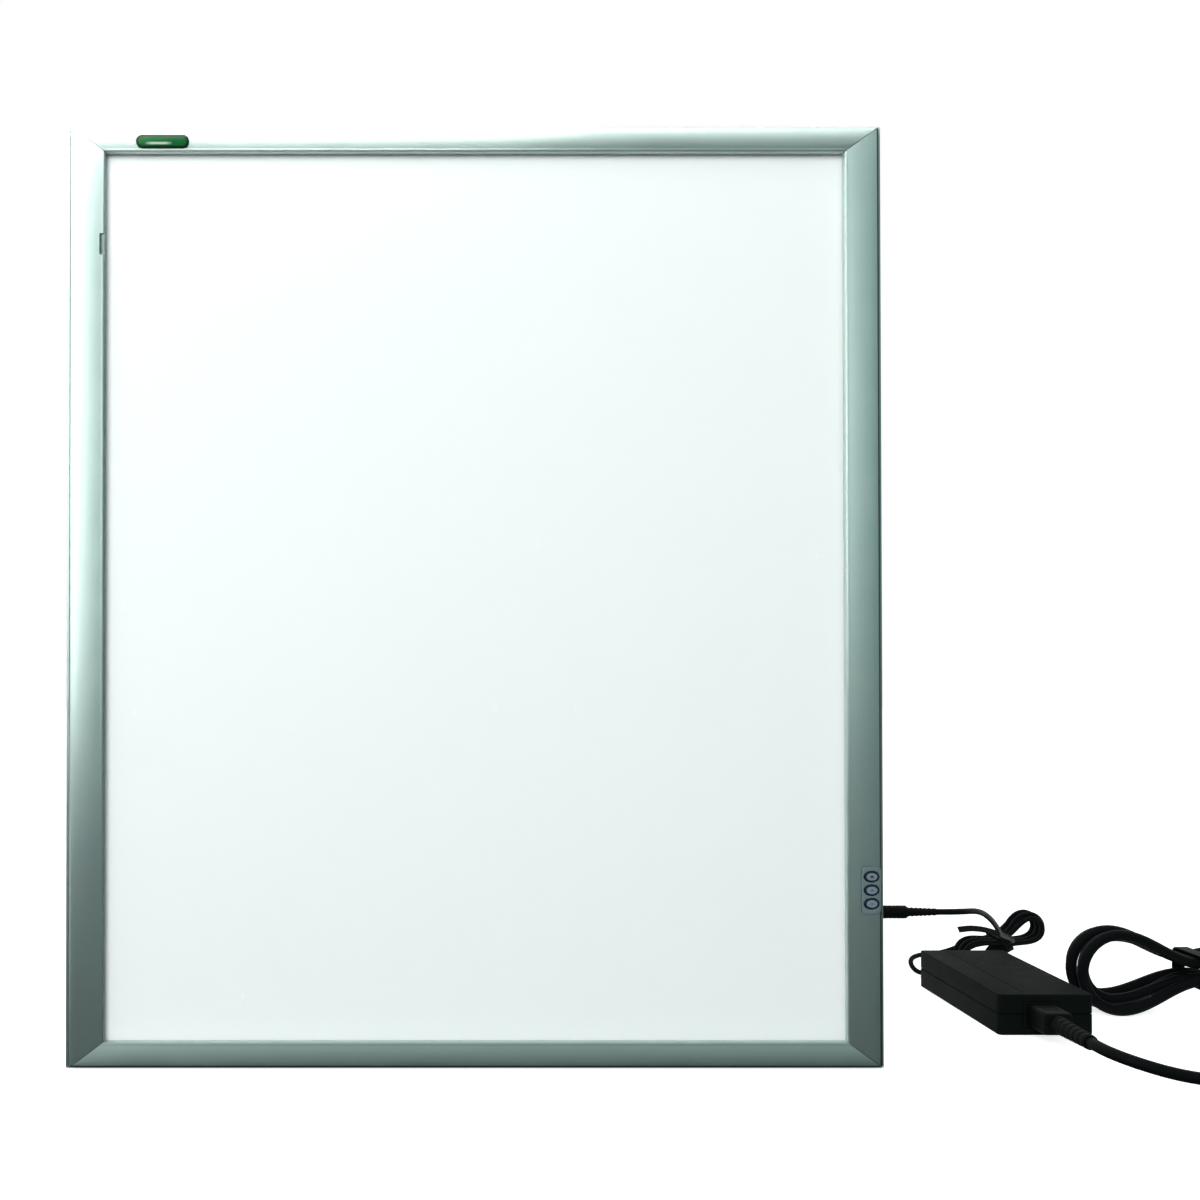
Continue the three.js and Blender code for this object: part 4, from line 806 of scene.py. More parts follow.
# A piece made by a geometry node tree, which takes its sizes by name
def fromTree(name, tree, values, look, points=()):
    obj = meshPiece(name, points, [])
    modifier = obj.modifiers.new("tree", "NODES")
    modifier.node_group = tree
    sockets = {item.name: item.identifier for item in tree.interface.items_tree if item.in_out == "INPUT"}
    for label, value in {**values, "Material": looks[look]}.items():
        modifier[sockets[label]] = value
    return plainMesh(obj)


def moved(geometry, x, y, z):
    place = get(geometry.tree, "ShaderNodeCombineXYZ", {"X": x, "Y": y, "Z": z})
    return get(geometry.tree, "GeometryNodeSetPosition", {"Geometry": geometry, "Position": place})


def finishTree(given, out, geometry):
    whole = get(geometry.tree, "GeometryNodeRealizeInstances", {"Geometry": geometry})
    setInputs(out, {"Geometry": get(geometry.tree, "GeometryNodeSetMaterial", {
        "Geometry": whole, "Material": given["Material"]})})
    return out.id_data


snapRail = {
    "skin": 0.0013,
    "edgeReach": 0.0019,  # of the outer edge beyond the pivot
    "edgeHeight": 0.0154,  # heights are over the panel's back
    "crownHeight": 0.0194,
    "shoulderDrop": 0.0016,
    "lipRadius": 0.0014,
    "lipHeight": 0.0126,
    "power": 2 / 2.4,
    "steps": 16,  # in each of the four parts of the section
    "pivotHeight": 0.014,
    "hookInner": 0.0011,
    "hookOuter": 0.0019,
    "hookStart": 148,
    "hookRoot": 60,
    "hookEnd": -58,
    "hookSteps": (20, 4, 14),  # of its inside, its outside and its root
    "hookRootGap": 0.00005,
    "hookSetback": 0.006,
    "mitreGap": 0.00015,
    "merge": 0.000001,
}
railKinds = {
    "side": {"pivot": 0.0042, "crown": 0.01, "face": 0.0208, "length": 0.508, "mitre": 15 / 20.8},
    "end": {"pivot": 0.0036, "crown": 0.0074, "face": 0.015, "length": 0.44, "mitre": 20.8 / 15},
}
panelBack = 0.01
railPlaces = {
    "left": {"kind": "side", "origin": (-0.22, panelBack, 0.254), "inward": (1, 0, 0)},
    "right": {"kind": "side", "origin": (0.22, panelBack, 0.254), "inward": (-1, 0, 0)},
    "top": {"kind": "end", "origin": (0, panelBack, 0.508), "inward": (0, 0, -1)},
    "bottom": {"kind": "end", "origin": (0, panelBack, 0), "inward": (0, 0, 1)},
}


# The snap rail's outer face: u runs from 0 at the outer edge to 4 at the lip's lower edge
def facePoint(u, pivot, crown, face):
    s = snapRail
    quarter = math.pi / 2
    rise = clamped(u) * quarter
    slope = clamped(u - 1)
    lip = clamped(u - 2) * quarter
    down = clamped(u - 3)
    edge = pivot - s["edgeReach"]
    shoulder = face - s["lipRadius"]
    high = s["crownHeight"] - s["edgeHeight"]
    fall = s["crownHeight"] - s["shoulderDrop"] - s["lipRadius"] - s["lipHeight"]
    inset = crown - (crown - edge) * cosine(rise) ** s["power"]
    inset = inset + (shoulder - crown) * slope + sine(lip) * s["lipRadius"]
    height = sine(rise) ** s["power"] * high + s["edgeHeight"] - slope * slope * s["shoulderDrop"]
    return inset, height + (cosine(lip) - 1) * s["lipRadius"] - down * fall


# A mitred shell that follows the snap rail's face; X is the inset, Y along and Z the height
def makeFaceTree():
    given, out = newTree("snap rail face", {
        "Pivot": 0.004, "Crown": 0.01, "Face": 0.02, "Length": 0.5, "Mitre": 0.7, "Gap": 0.0001,
        "Above": 0.0, "Thickness": 0.001})
    tree = out.id_data
    grid = get(tree, "GeometryNodeMeshGrid", {
        "Size X": 4.0, "Size Y": 2.0, "Vertices X": 4 * snapRail["steps"] + 1, "Vertices Y": 2})
    x, y, z = axes(get(tree, "GeometryNodeInputPosition"))
    inset, height = facePoint(x + 2.0, given["Pivot"], given["Crown"], given["Face"])
    sheet = moved(grid, inset, y, height)
    raised = scaled(get(tree, "GeometryNodeInputNormal"), given["Above"])
    face = get(tree, "GeometryNodeSetPosition", {"Geometry": sheet, "Offset": raised})
    inner = get(tree, "GeometryNodeExtrudeMesh", {
        "Mesh": face, "Offset Scale": given["Thickness"] * -1.0, "Individual": False}, mode="FACES")
    joined = put(tree, "GeometryNodeJoinGeometry", {0: get(tree, "GeometryNodeFlipFaces", {"Mesh": inner})})
    setInputs(joined, {0: face})
    merged = get(tree, "GeometryNodeMergeByDistance", {
        "Geometry": joined.outputs[0], "Distance": snapRail["merge"]})
    mitre = given["Mitre"]
    square = (mitre * mitre + 1.0).of("SQRT")
    half = given["Length"] / 2.0 - given["Gap"] * square - mitre * x
    return finishTree(given, out, moved(merged, x, y * half, z))


def railMatrix(place):
    inward, height = Vector(railPlaces[place]["inward"]), Vector((0, -1, 0))
    turn = Matrix((inward, height.cross(inward), height)).transposed().to_4x4()
    return Matrix.Translation(railPlaces[place]["origin"]) @ turn


def faceShell(name, kind, length, mitre, gap, above, thickness, look):
    sizes = railKinds[kind]
    return outward(fromTree(name, faceTree, {
        "Pivot": sizes["pivot"], "Crown": sizes["crown"], "Face": sizes["face"], "Length": length,
        "Mitre": mitre, "Gap": gap, "Above": above, "Thickness": thickness}, look))


# The rolled hook that clips over the base rail's bead, with the root that joins it to the skin
def hookPiece(name, kind):
    s, sizes = snapRail, railKinds[kind]
    inner, outer = s["hookInner"], s["hookOuter"]
    pivot = (sizes["pivot"], s["pivotHeight"])
    middle = []
    for i in range(s["steps"] + 1):
        inset, height = facePoint(i / s["steps"], sizes["pivot"], sizes["crown"], sizes["face"])
        point = (inset + s["skin"] / 2, height - s["skin"] / 2)
        if inset < pivot[0] + outer and math.dist(point, pivot) > outer + s["hookRootGap"]:
            middle.append(point)
    joint = math.degrees(math.atan2(middle[0][1] - pivot[1], middle[0][0] - pivot[0]))
    insideSteps, outsideSteps, rootSteps = s["hookSteps"]
    outline = [
        *arc(pivot, inner, s["hookEnd"], s["hookStart"], insideSteps),
        *arc(pivot, outer, s["hookStart"], joint, outsideSteps),
        *middle,
        *arc(pivot, outer, s["hookRoot"], s["hookEnd"], rootSteps),
    ]
    half = sizes["length"] / 2 - sizes["mitre"] * sizes["pivot"] - s["hookSetback"]
    turned = Matrix(((1, 0, 0, 0), (0, 0, 1, 0), (0, 1, 0, 0), (0, 0, 0, 1)))
    return outward(prism(name, outline, -half, half, turned))


# Control plate and buttons, in the right snap rail
control = {
    "inset": 0.0087,
    "middle": 0.0966,
    "pitch": 0.0072,
    "halfWidth": 0.0041,
    "halfHeight": 0.00285,
    "clearance": 0.0003,
    "plateWidth": 0.0108,
    "plateHeight": 0.0254,
    "plateCorner": 0.0024,
    "plateProud": 0.0002,
    "plateSink": 0.0007,
    "plateEdge": 0.00012,
    "rim": 0.00045,
    "rimLow": 0.017,
    "rimThickness": 0.0006,
    "plunger": 0.0016,
    "plungerLow": 0.01575,
    "top": 0.02,
    "dome": 0.00035,
    "domeFrom": 0.9,  # of the way to the edge
    "domeSteps": 12,
    "bendShare": 0.35,  # of the dome's height
    "bend": [(1, -1), (0.985, 0), (0.94, 1)],  # the cap's edge: shares of the way out, heights in bends
}
badge = {
    "place": -0.1677,
    "inset": 0.0102,
    "length": 0.0284,
    "width": 0.0067,
    "proud": 0.00025,
    "sink": 0.0007,
    "edge": 0.00015,
    "flat": 0.00001,  # left between its two round ends
}
notch = {"setback": 0.065, "halfLength": 0.0058, "depth": 0.0025, "floor": 0.0169, "corner": 0.0006}
buttons = {"power": (1, 1.0), "brighter": (0, 0.5), "dimmer": (-1, 0.4)}  # place in the row, dot's strength
cutter = {"low": 0.012, "high": 0.03, "over": 0.001}


# A flat outline through a rail; its X runs along inset and its Y along the rail
def throughRail(name, place, outline, inset, along, low):
    points = [(x + inset, y + along) for x, y in outline]
    return prism(name, points, low, cutter["high"], railMatrix(place))


def alongOf(place, worldPlace):
    return (railMatrix(place).inverted() @ Vector(worldPlace))[1]


def buttonAlong(order):
    return alongOf("right", (0, 0, control["middle"] + order * control["pitch"]))


def buttonHoles():
    gap = control["clearance"]
    outline = oval(control["halfWidth"] + gap, control["halfHeight"] + gap)
    return [
        throughRail(name + "Hole", "right", outline, control["inset"], buttonAlong(order), cutter["low"])
        for name, (order, _) in buttons.items()]


# A plate let into a rail's face, or with above over the face the tool for its seat
def plateBand(name, place, outline, inset, along, above, below, look):
    half = max(abs(y) for _, y in outline) + cutter["over"]
    band = faceShell(name, railPlaces[place]["kind"], 2 * half, 0, 0, above, above + below, look)
    band.data.transform(railMatrix(place) @ Matrix.Translation((0, along, 0)))
    tool = throughRail(name + "Outline", place, outline, inset, along, cutter["low"])
    return cut(band, [tool], "INTERSECT")


def controlBand(name, gap, above, below, look):
    outline = roundedOutline(
        control["plateWidth"] + 2 * gap, control["plateHeight"] + 2 * gap, control["plateCorner"] + gap)
    return plateBand(name, "right", outline, control["inset"], buttonAlong(0), above, below, look)


def badgeBand(name, gap, above, below, look):
    width = badge["width"] + 2 * gap
    outline = roundedOutline(width, badge["length"] + 2 * gap, width / 2 - badge["flat"], steps=12)
    along = alongOf("top", (badge["place"], 0, 0))
    return plateBand(name, "top", outline, badge["inset"], along, above, below, look)


def makeSnapRail(place, look):
    kind = railPlaces[place]["kind"]
    sizes = railKinds[kind]
    name = "snap_rail_" + place
    obj = faceShell(
        name, kind, sizes["length"], sizes["mitre"], snapRail["mitreGap"], 0, snapRail["skin"], look)
    cut(obj, [hookPiece(place + "Hook", kind)], "UNION")
    obj.data.transform(railMatrix(place))
    gap, over = control["clearance"], cutter["over"]
    if place == "right":
        cut(obj, [controlBand("plateSeat", gap, over, control["plateSink"], look), *buttonHoles()])
    if place == "top":
        cut(obj, [badgeBand("badgeSeat", gap, over, badge["sink"], look)])
    if place == "left":
        along = alongOf("left", (0, 0, sizes["length"] - notch["setback"]))
        inset = sizes["face"] - notch["depth"] / 2 + over
        outline = roundedOutline(
            notch["depth"] + 2 * over, 2 * notch["halfLength"], notch["corner"], steps=3)
        cut(obj, [throughRail("notch", place, outline, inset, along, notch["floor"])])
    return finishPiece(obj, name, look, [name])


softEdge = {"angle": 50, "segments": 2}


def softEdges(obj, width):
    modifier = obj.modifiers.new("edges", "BEVEL")
    modifier.width = width
    modifier.segments = softEdge["segments"]
    modifier.limit_method = "ANGLE"
    modifier.angle_limit = math.radians(softEdge["angle"])
    return plainMesh(obj)


def makeControlPlate():
    below = control["plateSink"] - control["clearance"]
    obj = cut(controlBand("control_plate", 0, control["plateProud"], below, "plate"), buttonHoles())
    softEdges(obj, control["plateEdge"])
    return finishPiece(obj, "snap_rail_right", "plate", ["control_plate"])


def makeBadge():
    obj = badgeBand("badge_plate", 0, badge["proud"], badge["sink"] - control["clearance"], "badge")
    softEdges(obj, badge["edge"])
    return finishPiece(obj, "snap_rail_top", "badge", ["badge_plate"])


# Its mesh carries how far out each point of the cap is, for the printed ring and the dot
def makeButton(name, order, mark):
    c = control
    rimLow, rimHigh = c["rimLow"], c["rimLow"] + c["rimThickness"]
    edgeHigh = c["top"] - c["dome"]
    bend, domeFrom = c["dome"] * c["bendShare"], c["domeFrom"]
    cap = [(1, rimLow), (1, rimHigh), *[(share, edgeHigh + bend * rise) for share, rise in c["bend"]]]
    for i in range(c["domeSteps"] + 1):
        left = 1 - i / c["domeSteps"]
        cap.append((domeFrom * left, edgeHigh + bend + (c["dome"] - bend) * (1 - left**2)))
    rings = [level(oval(c["plunger"], c["plunger"]), height) for height in (c["plungerLow"], rimLow)]
    for share, height in cap:
        rim = c["rim"] if height <= rimHigh else 0
        outline = oval(c["halfWidth"] * share, c["halfHeight"] * share + rim) if share > 0 else [(0, 0)]
        rings.append(level(outline, height))
    obj = ringSkin(name, rings)
    across = obj.data.attributes.new("across", "FLOAT", "POINT").data
    marks = obj.data.attributes.new("mark", "FLOAT", "POINT").data
    for i, vertex in enumerate(obj.data.vertices):
        out = math.hypot(vertex.co.x / c["halfWidth"], vertex.co.y / c["halfHeight"])
        across[i].value = out if vertex.co.z > rimHigh else 2.0
        marks[i].value = mark
    obj.data.transform(railMatrix("right") @ Matrix.Translation((c["inset"], buttonAlong(order), 0)))
    return finishPiece(obj, name, "button", [name])


reliefForm = {
    "sides": 40,
    "rings": 112,
    "phase": 0.25,  # of a turn
    "swell": 2.2,
    "lean": 0.6,
    "ribbedTo": 0.99,  # of the length
    "fade": 40.0,  # of the ribs at both ends, per length
}


# A round relief whose rings grow thinner to its tip; it stands on +Z
def makeReliefTree():
    given, out = newTree("ribbed relief", {
        "Length": 0.03, "Root": 0.005, "Tip": 0.004, "Ribs": 6.0, "Depth": 0.0005})
    form = reliefForm
    rod = get(out.id_data, "GeometryNodeMeshCylinder", {
        "Vertices": form["sides"], "Side Segments": form["rings"], "Radius": 1.0, "Depth": 1.0}, "Mesh")
    x, y, z = axes(get(out.id_data, "GeometryNodeInputPosition"))
    share = z + 0.5
    turns = share * given["Ribs"] - form["phase"]
    wave = sine(turns * (2 * math.pi)) * form["swell"] - form["lean"]
    ring = wave.of("MAXIMUM", -1.0).of("MINIMUM", 1.0) * 0.5 + 0.5
    body = clamped((share - form["ribbedTo"]) * -form["fade"]) * clamped(share * form["fade"])
    radius = given["Root"] + (given["Tip"] - given["Root"]) * share
    radius = radius - given["Depth"] * (ring * -1.0 + 1.0) * body
    return finishTree(given, out, moved(rod, radius * x, radius * y, given["Length"] * share))


def ribbed(name, sizes, matrix):
    obj = outward(fromTree(name, reliefTree, sizes, "blackRubber"))
    obj.data.transform(matrix)
    return obj


overlap = 0.0005  # between parts that are joined to one piece

dcPlug = {
    "start": (0.2203, 0.0047, 0.0824),
    "radius": 0.0035,
    "length": 0.0146,
    "relief": {"Length": 0.0165, "Root": 0.0026, "Tip": 0.0019, "Ribs": 7.0, "Depth": 0.00022},
    "reliefSeat": 0.0025,
    "rounding": 0.0007,
    "grips": [0.0048, 0.0068, 0.0088],  # of the three grip rings from the plug's face
    "gripDepth": 0.00025,
    "gripHalf": (0.0004, 0.0001),  # at its top and at its floor
}


def makeDcPlug():
    p = dcPlug
    high, inner = p["length"], p["radius"] - p["rounding"]
    wide, narrow = p["gripHalf"]
    profile = [(0, 0), *arc((inner, p["rounding"]), p["rounding"], -90, 0, 5)]
    for height in p["grips"]:
        low = p["radius"] - p["gripDepth"]
        profile += [(p["radius"], height - wide), (low, height - narrow), (low, height + narrow),
                    (p["radius"], height + wide)]
    profile += [*arc((inner, high - p["rounding"]), p["rounding"], 0, 90, 5),
                (p["reliefSeat"], high), (0, high)]
    turn = facing(p["start"], (1, 0, 0))
    obj = lathe("dc_plug_body", profile, sides=48, matrix=turn)
    relief = ribbed("dcRelief", p["relief"], turn @ Matrix.Translation((0, 0, high - overlap)))
    return finishRubber(cut(obj, [relief], "UNION"), "dc_plug_body")


# The power adapter: two shells with a seam
adapter = {
    "left": 0.3095,
    "front": 0.0615,
    "width": 0.0555,
    "length": 0.1205,
    "height": 0.0236,
    "split": 0.012,
    "seam": 0.0003,
    "seamDepth": 0.0004,
    "wall": 0.002,
    "corner": 0.003,
    "leastCorner": 0.0004,
    "bevel": 0.0008,
    "bevelSteps": 5,
    "groovePlace": 0.3,  # of the width
    "grooveWidth": 0.0005,
    "grooveDepth": 0.0003,
    "grooveSetback": 0.004,
    "inlet": (0.334, 0.012),
    "inletSize": (0.0206, 0.0156),
    "inletCorner": 0.0005,
    "outlet": (0.337, 0.012),
    "outletRadius": 0.0037,
    "over": 0.001,  # of a cut beyond a face
}


def adapterRear():
    return adapter["front"] + adapter["length"]


def boxRing(inset, height):
    a = adapter
    x, y = a["left"] + a["width"] / 2, a["front"] + a["length"] / 2
    outline = roundedOutline(
        a["width"] - 2 * inset, a["length"] - 2 * inset, max(a["corner"] - inset, a["leastCorner"]),
        steps=8)
    return [(x + across, y + along, height) for across, along in outline]


def adapterHoles():
    a = adapter
    deep = a["wall"] + 2 * a["over"]
    mouth = facing((a["inlet"][0], a["front"] - a["over"], a["inlet"][1]), (0, 1, 0))
    bore = facing((a["outlet"][0], adapterRear() - a["wall"] - a["over"], a["outlet"][1]), (0, 1, 0))
    return [
        prism("inletHole", roundedOutline(*a["inletSize"], a["inletCorner"], steps=2), 0, deep, mouth),
        prism("outletHole", oval(a["outletRadius"], a["outletRadius"], sides=36), 0, deep, bore)]


def makeShell(name, outer, seam, inner, grooved):
    a = adapter
    sign = 1 if seam > outer else -1
    rings = []
    for i in range(a["bevelSteps"] + 1):
        turn = math.pi / 2 * i / a["bevelSteps"]
        rings.append(boxRing(
            a["bevel"] * (1 - math.sin(turn)), outer + sign * a["bevel"] * (1 - math.cos(turn))))
    rings += [boxRing(0, seam - sign * a["seamDepth"]), boxRing(a["seamDepth"], seam),
              boxRing(a["wall"], seam), boxRing(a["wall"], inner)]
    obj = ringSkin(name, rings)
    tools = adapterHoles()
    if grooved:
        outline = rectangle(
            a["grooveWidth"], a["length"] - 2 * a["grooveSetback"], a["left"] + a["width"] * a["groovePlace"],
            a["front"] + a["length"] / 2)
        tools.append(prism("groove", outline, a["height"] - a["grooveDepth"], a["height"] + a["over"]))
    return finishPiece(cut(obj, tools), "root", "blackPlastic", [name], 40)


connector = {
    "width": 0.017,
    "height": 0.0128,
    "corner": 0.0024,
    "face": 0.0612,
    "end": 0.0392,
    "edge": 0.0007,
    "faceEdge": [(1, 0), (0.2, 0.25), (0, 1)],  # insets and heights, in edges
    "endEdge": [(0, 3), (0.6, 1), (1.6, 0.3), (2.6, 0)],  # the same, from its other end
    "noseWidth": 0.014,
    "noseHeight": 0.0096,
    "noseTip": 0.0712,
    "relief": {"Length": 0.037, "Root": 0.0052, "Tip": 0.0041, "Ribs": 7.0, "Depth": 0.0006},
    "pinPitch": 0.004,
    "pinRise": 0.0016,
    "pinBore": 0.0013,
    "boreDepth": 0.008,
    "ridges": 5,
    "ridgeStart": 0.006,
    "ridgePitch": 0.0022,
    "ridgeSize": (0.01, 0.0007),
    "ridgeDepth": 0.0004,
    "over": 0.001,
}


def makeConnector():
    c = connector
    x, z = adapter["inlet"]
    turn = facing((x, c["face"], z), (0, -1, 0))
    length, edge = c["face"] - c["end"], c["edge"]
    rings = []
    course = [(inset, rise * edge) for inset, rise in c["faceEdge"]]
    course += [(inset, length - rise * edge) for inset, rise in c["endEdge"]]
    for inset, height in course:
        narrower = 2 * inset * edge
        rings.append(level(
            roundedOutline(c["width"] - narrower, c["height"] - narrower, c["corner"], steps=8), height))
    obj = ringSkin("mains_connector", rings, turn)
    outline = roundedOutline(c["noseWidth"], c["noseHeight"], c["corner"], steps=8)
    nose = prism("nose", outline, c["face"] - c["noseTip"], c["over"], turn)
    relief = ribbed("connectorRelief", c["relief"], facing((x, c["end"] + c["over"], z), (0, -1, 0)))
    cut(obj, [nose, relief], "UNION")
    tools = []
    for side in (-1, 0, 1):
        up = c["pinRise"] if side == 0 else -c["pinRise"]
        start = (x + side * c["pinPitch"], c["noseTip"] - c["boreDepth"] + overlap, z + up)
        outline = oval(c["pinBore"], c["pinBore"], sides=20)
        tools.append(prism("bore", outline, 0, c["boreDepth"], facing(start, (0, 1, 0))))
    for i in range(c["ridges"]):  # for the thumb, across the top
        outline = rectangle(*c["ridgeSize"], x, c["face"] - c["ridgeStart"] - i * c["ridgePitch"])
        high = z + c["height"] / 2
        tools.append(prism("ridge", outline, high - c["ridgeDepth"], high + c["over"]))
    return finishRubber(cut(obj, tools), "mains_connector")


outletRelief = {
    "relief": {"Length": 0.016, "Root": 0.00339, "Tip": 0.0023, "Ribs": 5.0, "Depth": 0.0004},
    "root": 0.0034,
    "collar": 0.0046,
    "collarLength": 0.0018,
    "clearance": 0.0003,
}


def makeOutletRelief():
    r = outletRelief
    x, z = adapter["outlet"]
    rear = adapterRear()
    start = rear - adapter["wall"] - r["clearance"]
    high = rear - start + overlap
    profile = [(0, -r["collarLength"]), (r["collar"], -r["collarLength"]), (r["collar"], 0), (r["root"], 0),
               (r["root"], high), (0, high)]
    obj = lathe("adapter_strain_relief", profile, sides=40, matrix=facing((x, start, z), (0, 1, 0)))
    relief = ribbed("reliefRings", r["relief"], facing((x, rear, z), (0, 1, 0)))
    return finishRubber(cut(obj, [relief], "UNION"), "adapter_strain_relief")


mainsPlug = {
    "start": (0.528, 0.1396, 0.0123),
    "reliefLength": 0.02,
    "reliefRings": 12,
    "ringDepth": 0.00042,
    "tip": 0.0035,
    "neck": 0.007,
    "neckSteps": 10,
    "radius": 0.0122,
    "length": 0.036,
    "rounding": 0.0015,
    "bridge": 0.003,
    "clearance": 0.0003,
    "grooves": 6,
    "grooveDepth": 0.0007,
    "groovesFrom": 0.003,  # of the shoulder
    "grooveShare": 0.55,  # of the grip's length
    "grooveCourse": (0.25, 0.4, 0.65),  # of its pitch: its floor's two ends and its far edge
}


def makeMainsPlug():
    p = mainsPlug
    end, shoulder = p["reliefLength"] + p["length"], p["reliefLength"] + p["neck"]
    profile = [(0, 0), (p["tip"], 0)]
    for i in range(2 * p["reliefRings"] + 1):
        share, deep = i / (2 * p["reliefRings"]), p["ringDepth"] if i % 2 else 0
        profile.append((p["tip"] + (p["neck"] - p["tip"]) * share - deep, p["reliefLength"] * share))
    for i in range(1, p["neckSteps"] + 1):
        share = i / p["neckSteps"]
        profile.append((p["neck"] + (p["radius"] - p["neck"]) * smooth(share),
                        p["reliefLength"] + p["neck"] * share))
    width = (end - shoulder) * p["grooveShare"] / p["grooves"]
    floor = p["radius"] - p["grooveDepth"]
    for i in range(p["grooves"]):
        low = shoulder + p["groovesFrom"] + width * i
        near, far, last = [low + width * share for share in p["grooveCourse"]]
        profile += [(p["radius"], low), (floor, near), (floor, far), (p["radius"], last)]
    profile += arc((p["radius"] - p["rounding"], end - p["rounding"]), p["rounding"], 0, 90, 6)
    seat, deep = p["radius"] - p["bridge"] + p["clearance"], end - p["bridge"] - p["clearance"]
    profile += [(seat, end), (seat, deep), (0, deep)]
    obj = lathe("mains_plug_body", profile, sides=64, matrix=facing(p["start"], (1, 0, 0)))
    return finishRubber(obj, "mains_plug_body")


screw = {
    "radius": 0.0023,
    "height": 0.0016,
    "flat": 0.55,  # of the radius
    "edge": 0.45,  # of the height
    "rise": 0.0041,  # of the head's underside over the panel's back
    "slotSize": (0.0026, 0.0006),
    "slotDepth": 0.0009,
    "over": 0.001,
    "shank": 0.0012,
    "aside": 0.2117,
    "setback": 0.026,
    "seed": 3,
}


# One screw, standing on +Z, with a cross recess
def screwForm():
    s = screw
    flat, edge, top = s["flat"], s["edge"], s["rise"] + s["height"]
    profile = [(0, 0), (s["shank"], 0), (s["shank"], s["rise"]), (s["radius"], s["rise"])]
    for x, y in arc((0, 0), 1, 0, 90, 7):
        out = s["radius"] * (flat + (1 - flat) * x)
        profile.append((out, s["rise"] + s["height"] * (edge + (1 - edge) * y)))
    obj = lathe("screwForm", [*profile, (0, top)], sides=36)
    return cut(obj, [
        prism("slot", rectangle(*size), top - s["slotDepth"], top + s["over"])
        for size in (s["slotSize"], s["slotSize"][::-1])])


def makeScrewTree():
    given, out = newTree("screws", {"Screw": "Object", "Seed": 3})
    form = get(out.id_data, "GeometryNodeObjectInfo", {"Object": given["Screw"]}, "Geometry")
    upright = math.pi / 2
    turn = get(out.id_data, "FunctionNodeRandomValue", {
        "Min": (upright, 0.0, 0.0), "Max": (upright, math.pi / 2, 0.0), "Seed": given["Seed"]},
        "Value", data_type="FLOAT_VECTOR")
    return finishTree(given, out, get(out.id_data, "GeometryNodeInstanceOnPoints", {
        "Points": given["Geometry"], "Instance": form, "Rotation": turn}))


def makeScrews():
    s, height = screw, railKinds["side"]["length"]
    points = [
        (x, panelBack, z) for x in (-s["aside"], s["aside"]) for z in (s["setback"], height - s["setback"])]
    form = screwForm()
    obj = fromTree("corner_screws", makeScrewTree(), {"Screw": form, "Seed": s["seed"]}, "steel", points)
    bpy.data.objects.remove(form)
    names = ["corner_screw_" + end + "_" + side for end in ("top", "bottom") for side in ("left", "right")]
    return finishPiece(obj, "root", "steel", names)


faceTree = makeFaceTree()
reliefTree = makeReliefTree()
railLooks = {
    "left": "railLeftPaintedShade", "right": "railRightPaintedShade", "top": "aluminiumAcross", "bottom": "railBottomPaintedShade"}
for place, look in railLooks.items():
    makeSnapRail(place, look)
print("snap rails: made")
makeControlPlate()
makeBadge()
for name, (order, mark) in buttons.items():
    makeButton(name + "_button", order, mark)
print("control plate, buttons and badge: made")
dcPlugPiece = makeDcPlug()
makeShell("adapter_bottom_shell", 0, adapter["split"], adapter["wall"], False)
makeShell(
    "adapter_top_shell", adapter["height"], adapter["split"] + adapter["seam"],
    adapter["height"] - adapter["wall"], True)
connectorPiece = makeConnector()
reliefPiece = makeOutletRelief()
plugPiece = makeMainsPlug()
makeScrews()
print("adapter, plugs and screws: made")

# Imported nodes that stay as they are, with their looks
keptLooks = {
    "aluminiumUp": ["base_rail_left", "base_rail_right"],
    "aluminiumAcross": ["base_rail_top", "base_rail_bottom"],
    "diffuser": ["diffuser_sheet"],
    "clear": ["clear_cover_sheet", "light_guide"],
    "backPanel": ["back_panel"],
    "white": ["reflector_sheet", "led_strip_left", "led_strip_right"],
    "steel": [
        "mains_plug_pins", "dc_plug_barrel", "adapter_transformer", "corner_key_top_left",
        "corner_key_top_right", "corner_key_bottom_left", "corner_key_bottom_right"],
    "springSteel": [
        "snap_spring_left_1", "snap_spring_left_2", "snap_spring_right_1", "snap_spring_right_2",
        "snap_spring_top", "snap_spring_bottom"],
    "circuit": ["control_board", "adapter_board"],
    "blackPlastic": ["dc_jack", "mains_inlet"],
    "gripRubber": ["film_grip_strip"],
    "blackRubber": ["led_lead_left", "led_lead_right"],
    "capacitor": ["adapter_capacitor"],
}
for look, names in keptLooks.items():
    for name in names:
        dress(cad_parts[name], look)

# Floor and light
room = {
    "floorHalf": 4.0,
    "floorDrop": 0.0002,
    "floorColour": (0.8, 0.8, 0.8, 1),
    "floorFront": (0.14, 0.145, 0.15, 1),  # as the object sees it, in front of its rear edge
    "rearEdge": (0.0, 0.15),
    "floorGlow": 0.72,
    "low": 0.33,
    "high": 0.52,
    "rise": (0.0, 0.8),  # from low to high, of a direction's upward share
    "glow": 0.2,  # the soft box as glossy faces see it, to the left and above
    "glowX": (-0.5, 0.4),
    "glowZ": (0.1, 0.7),
    "back": 0.8,
    "tint": (0.93, 1.0, 0.975, 1),
    "lowTint": (0.54, 1.0, 0.98, 1),
}


# Where the white backdrop shows: to the camera, through clear sheets and, behind, in what shines
def showsWhite(ray, behind):
    direct = ray["Is Camera Ray"].of("MAXIMUM", ray["Is Transmission Ray"])
    return direct.of("MAXIMUM", ray["Is Glossy Ray"] * behind)


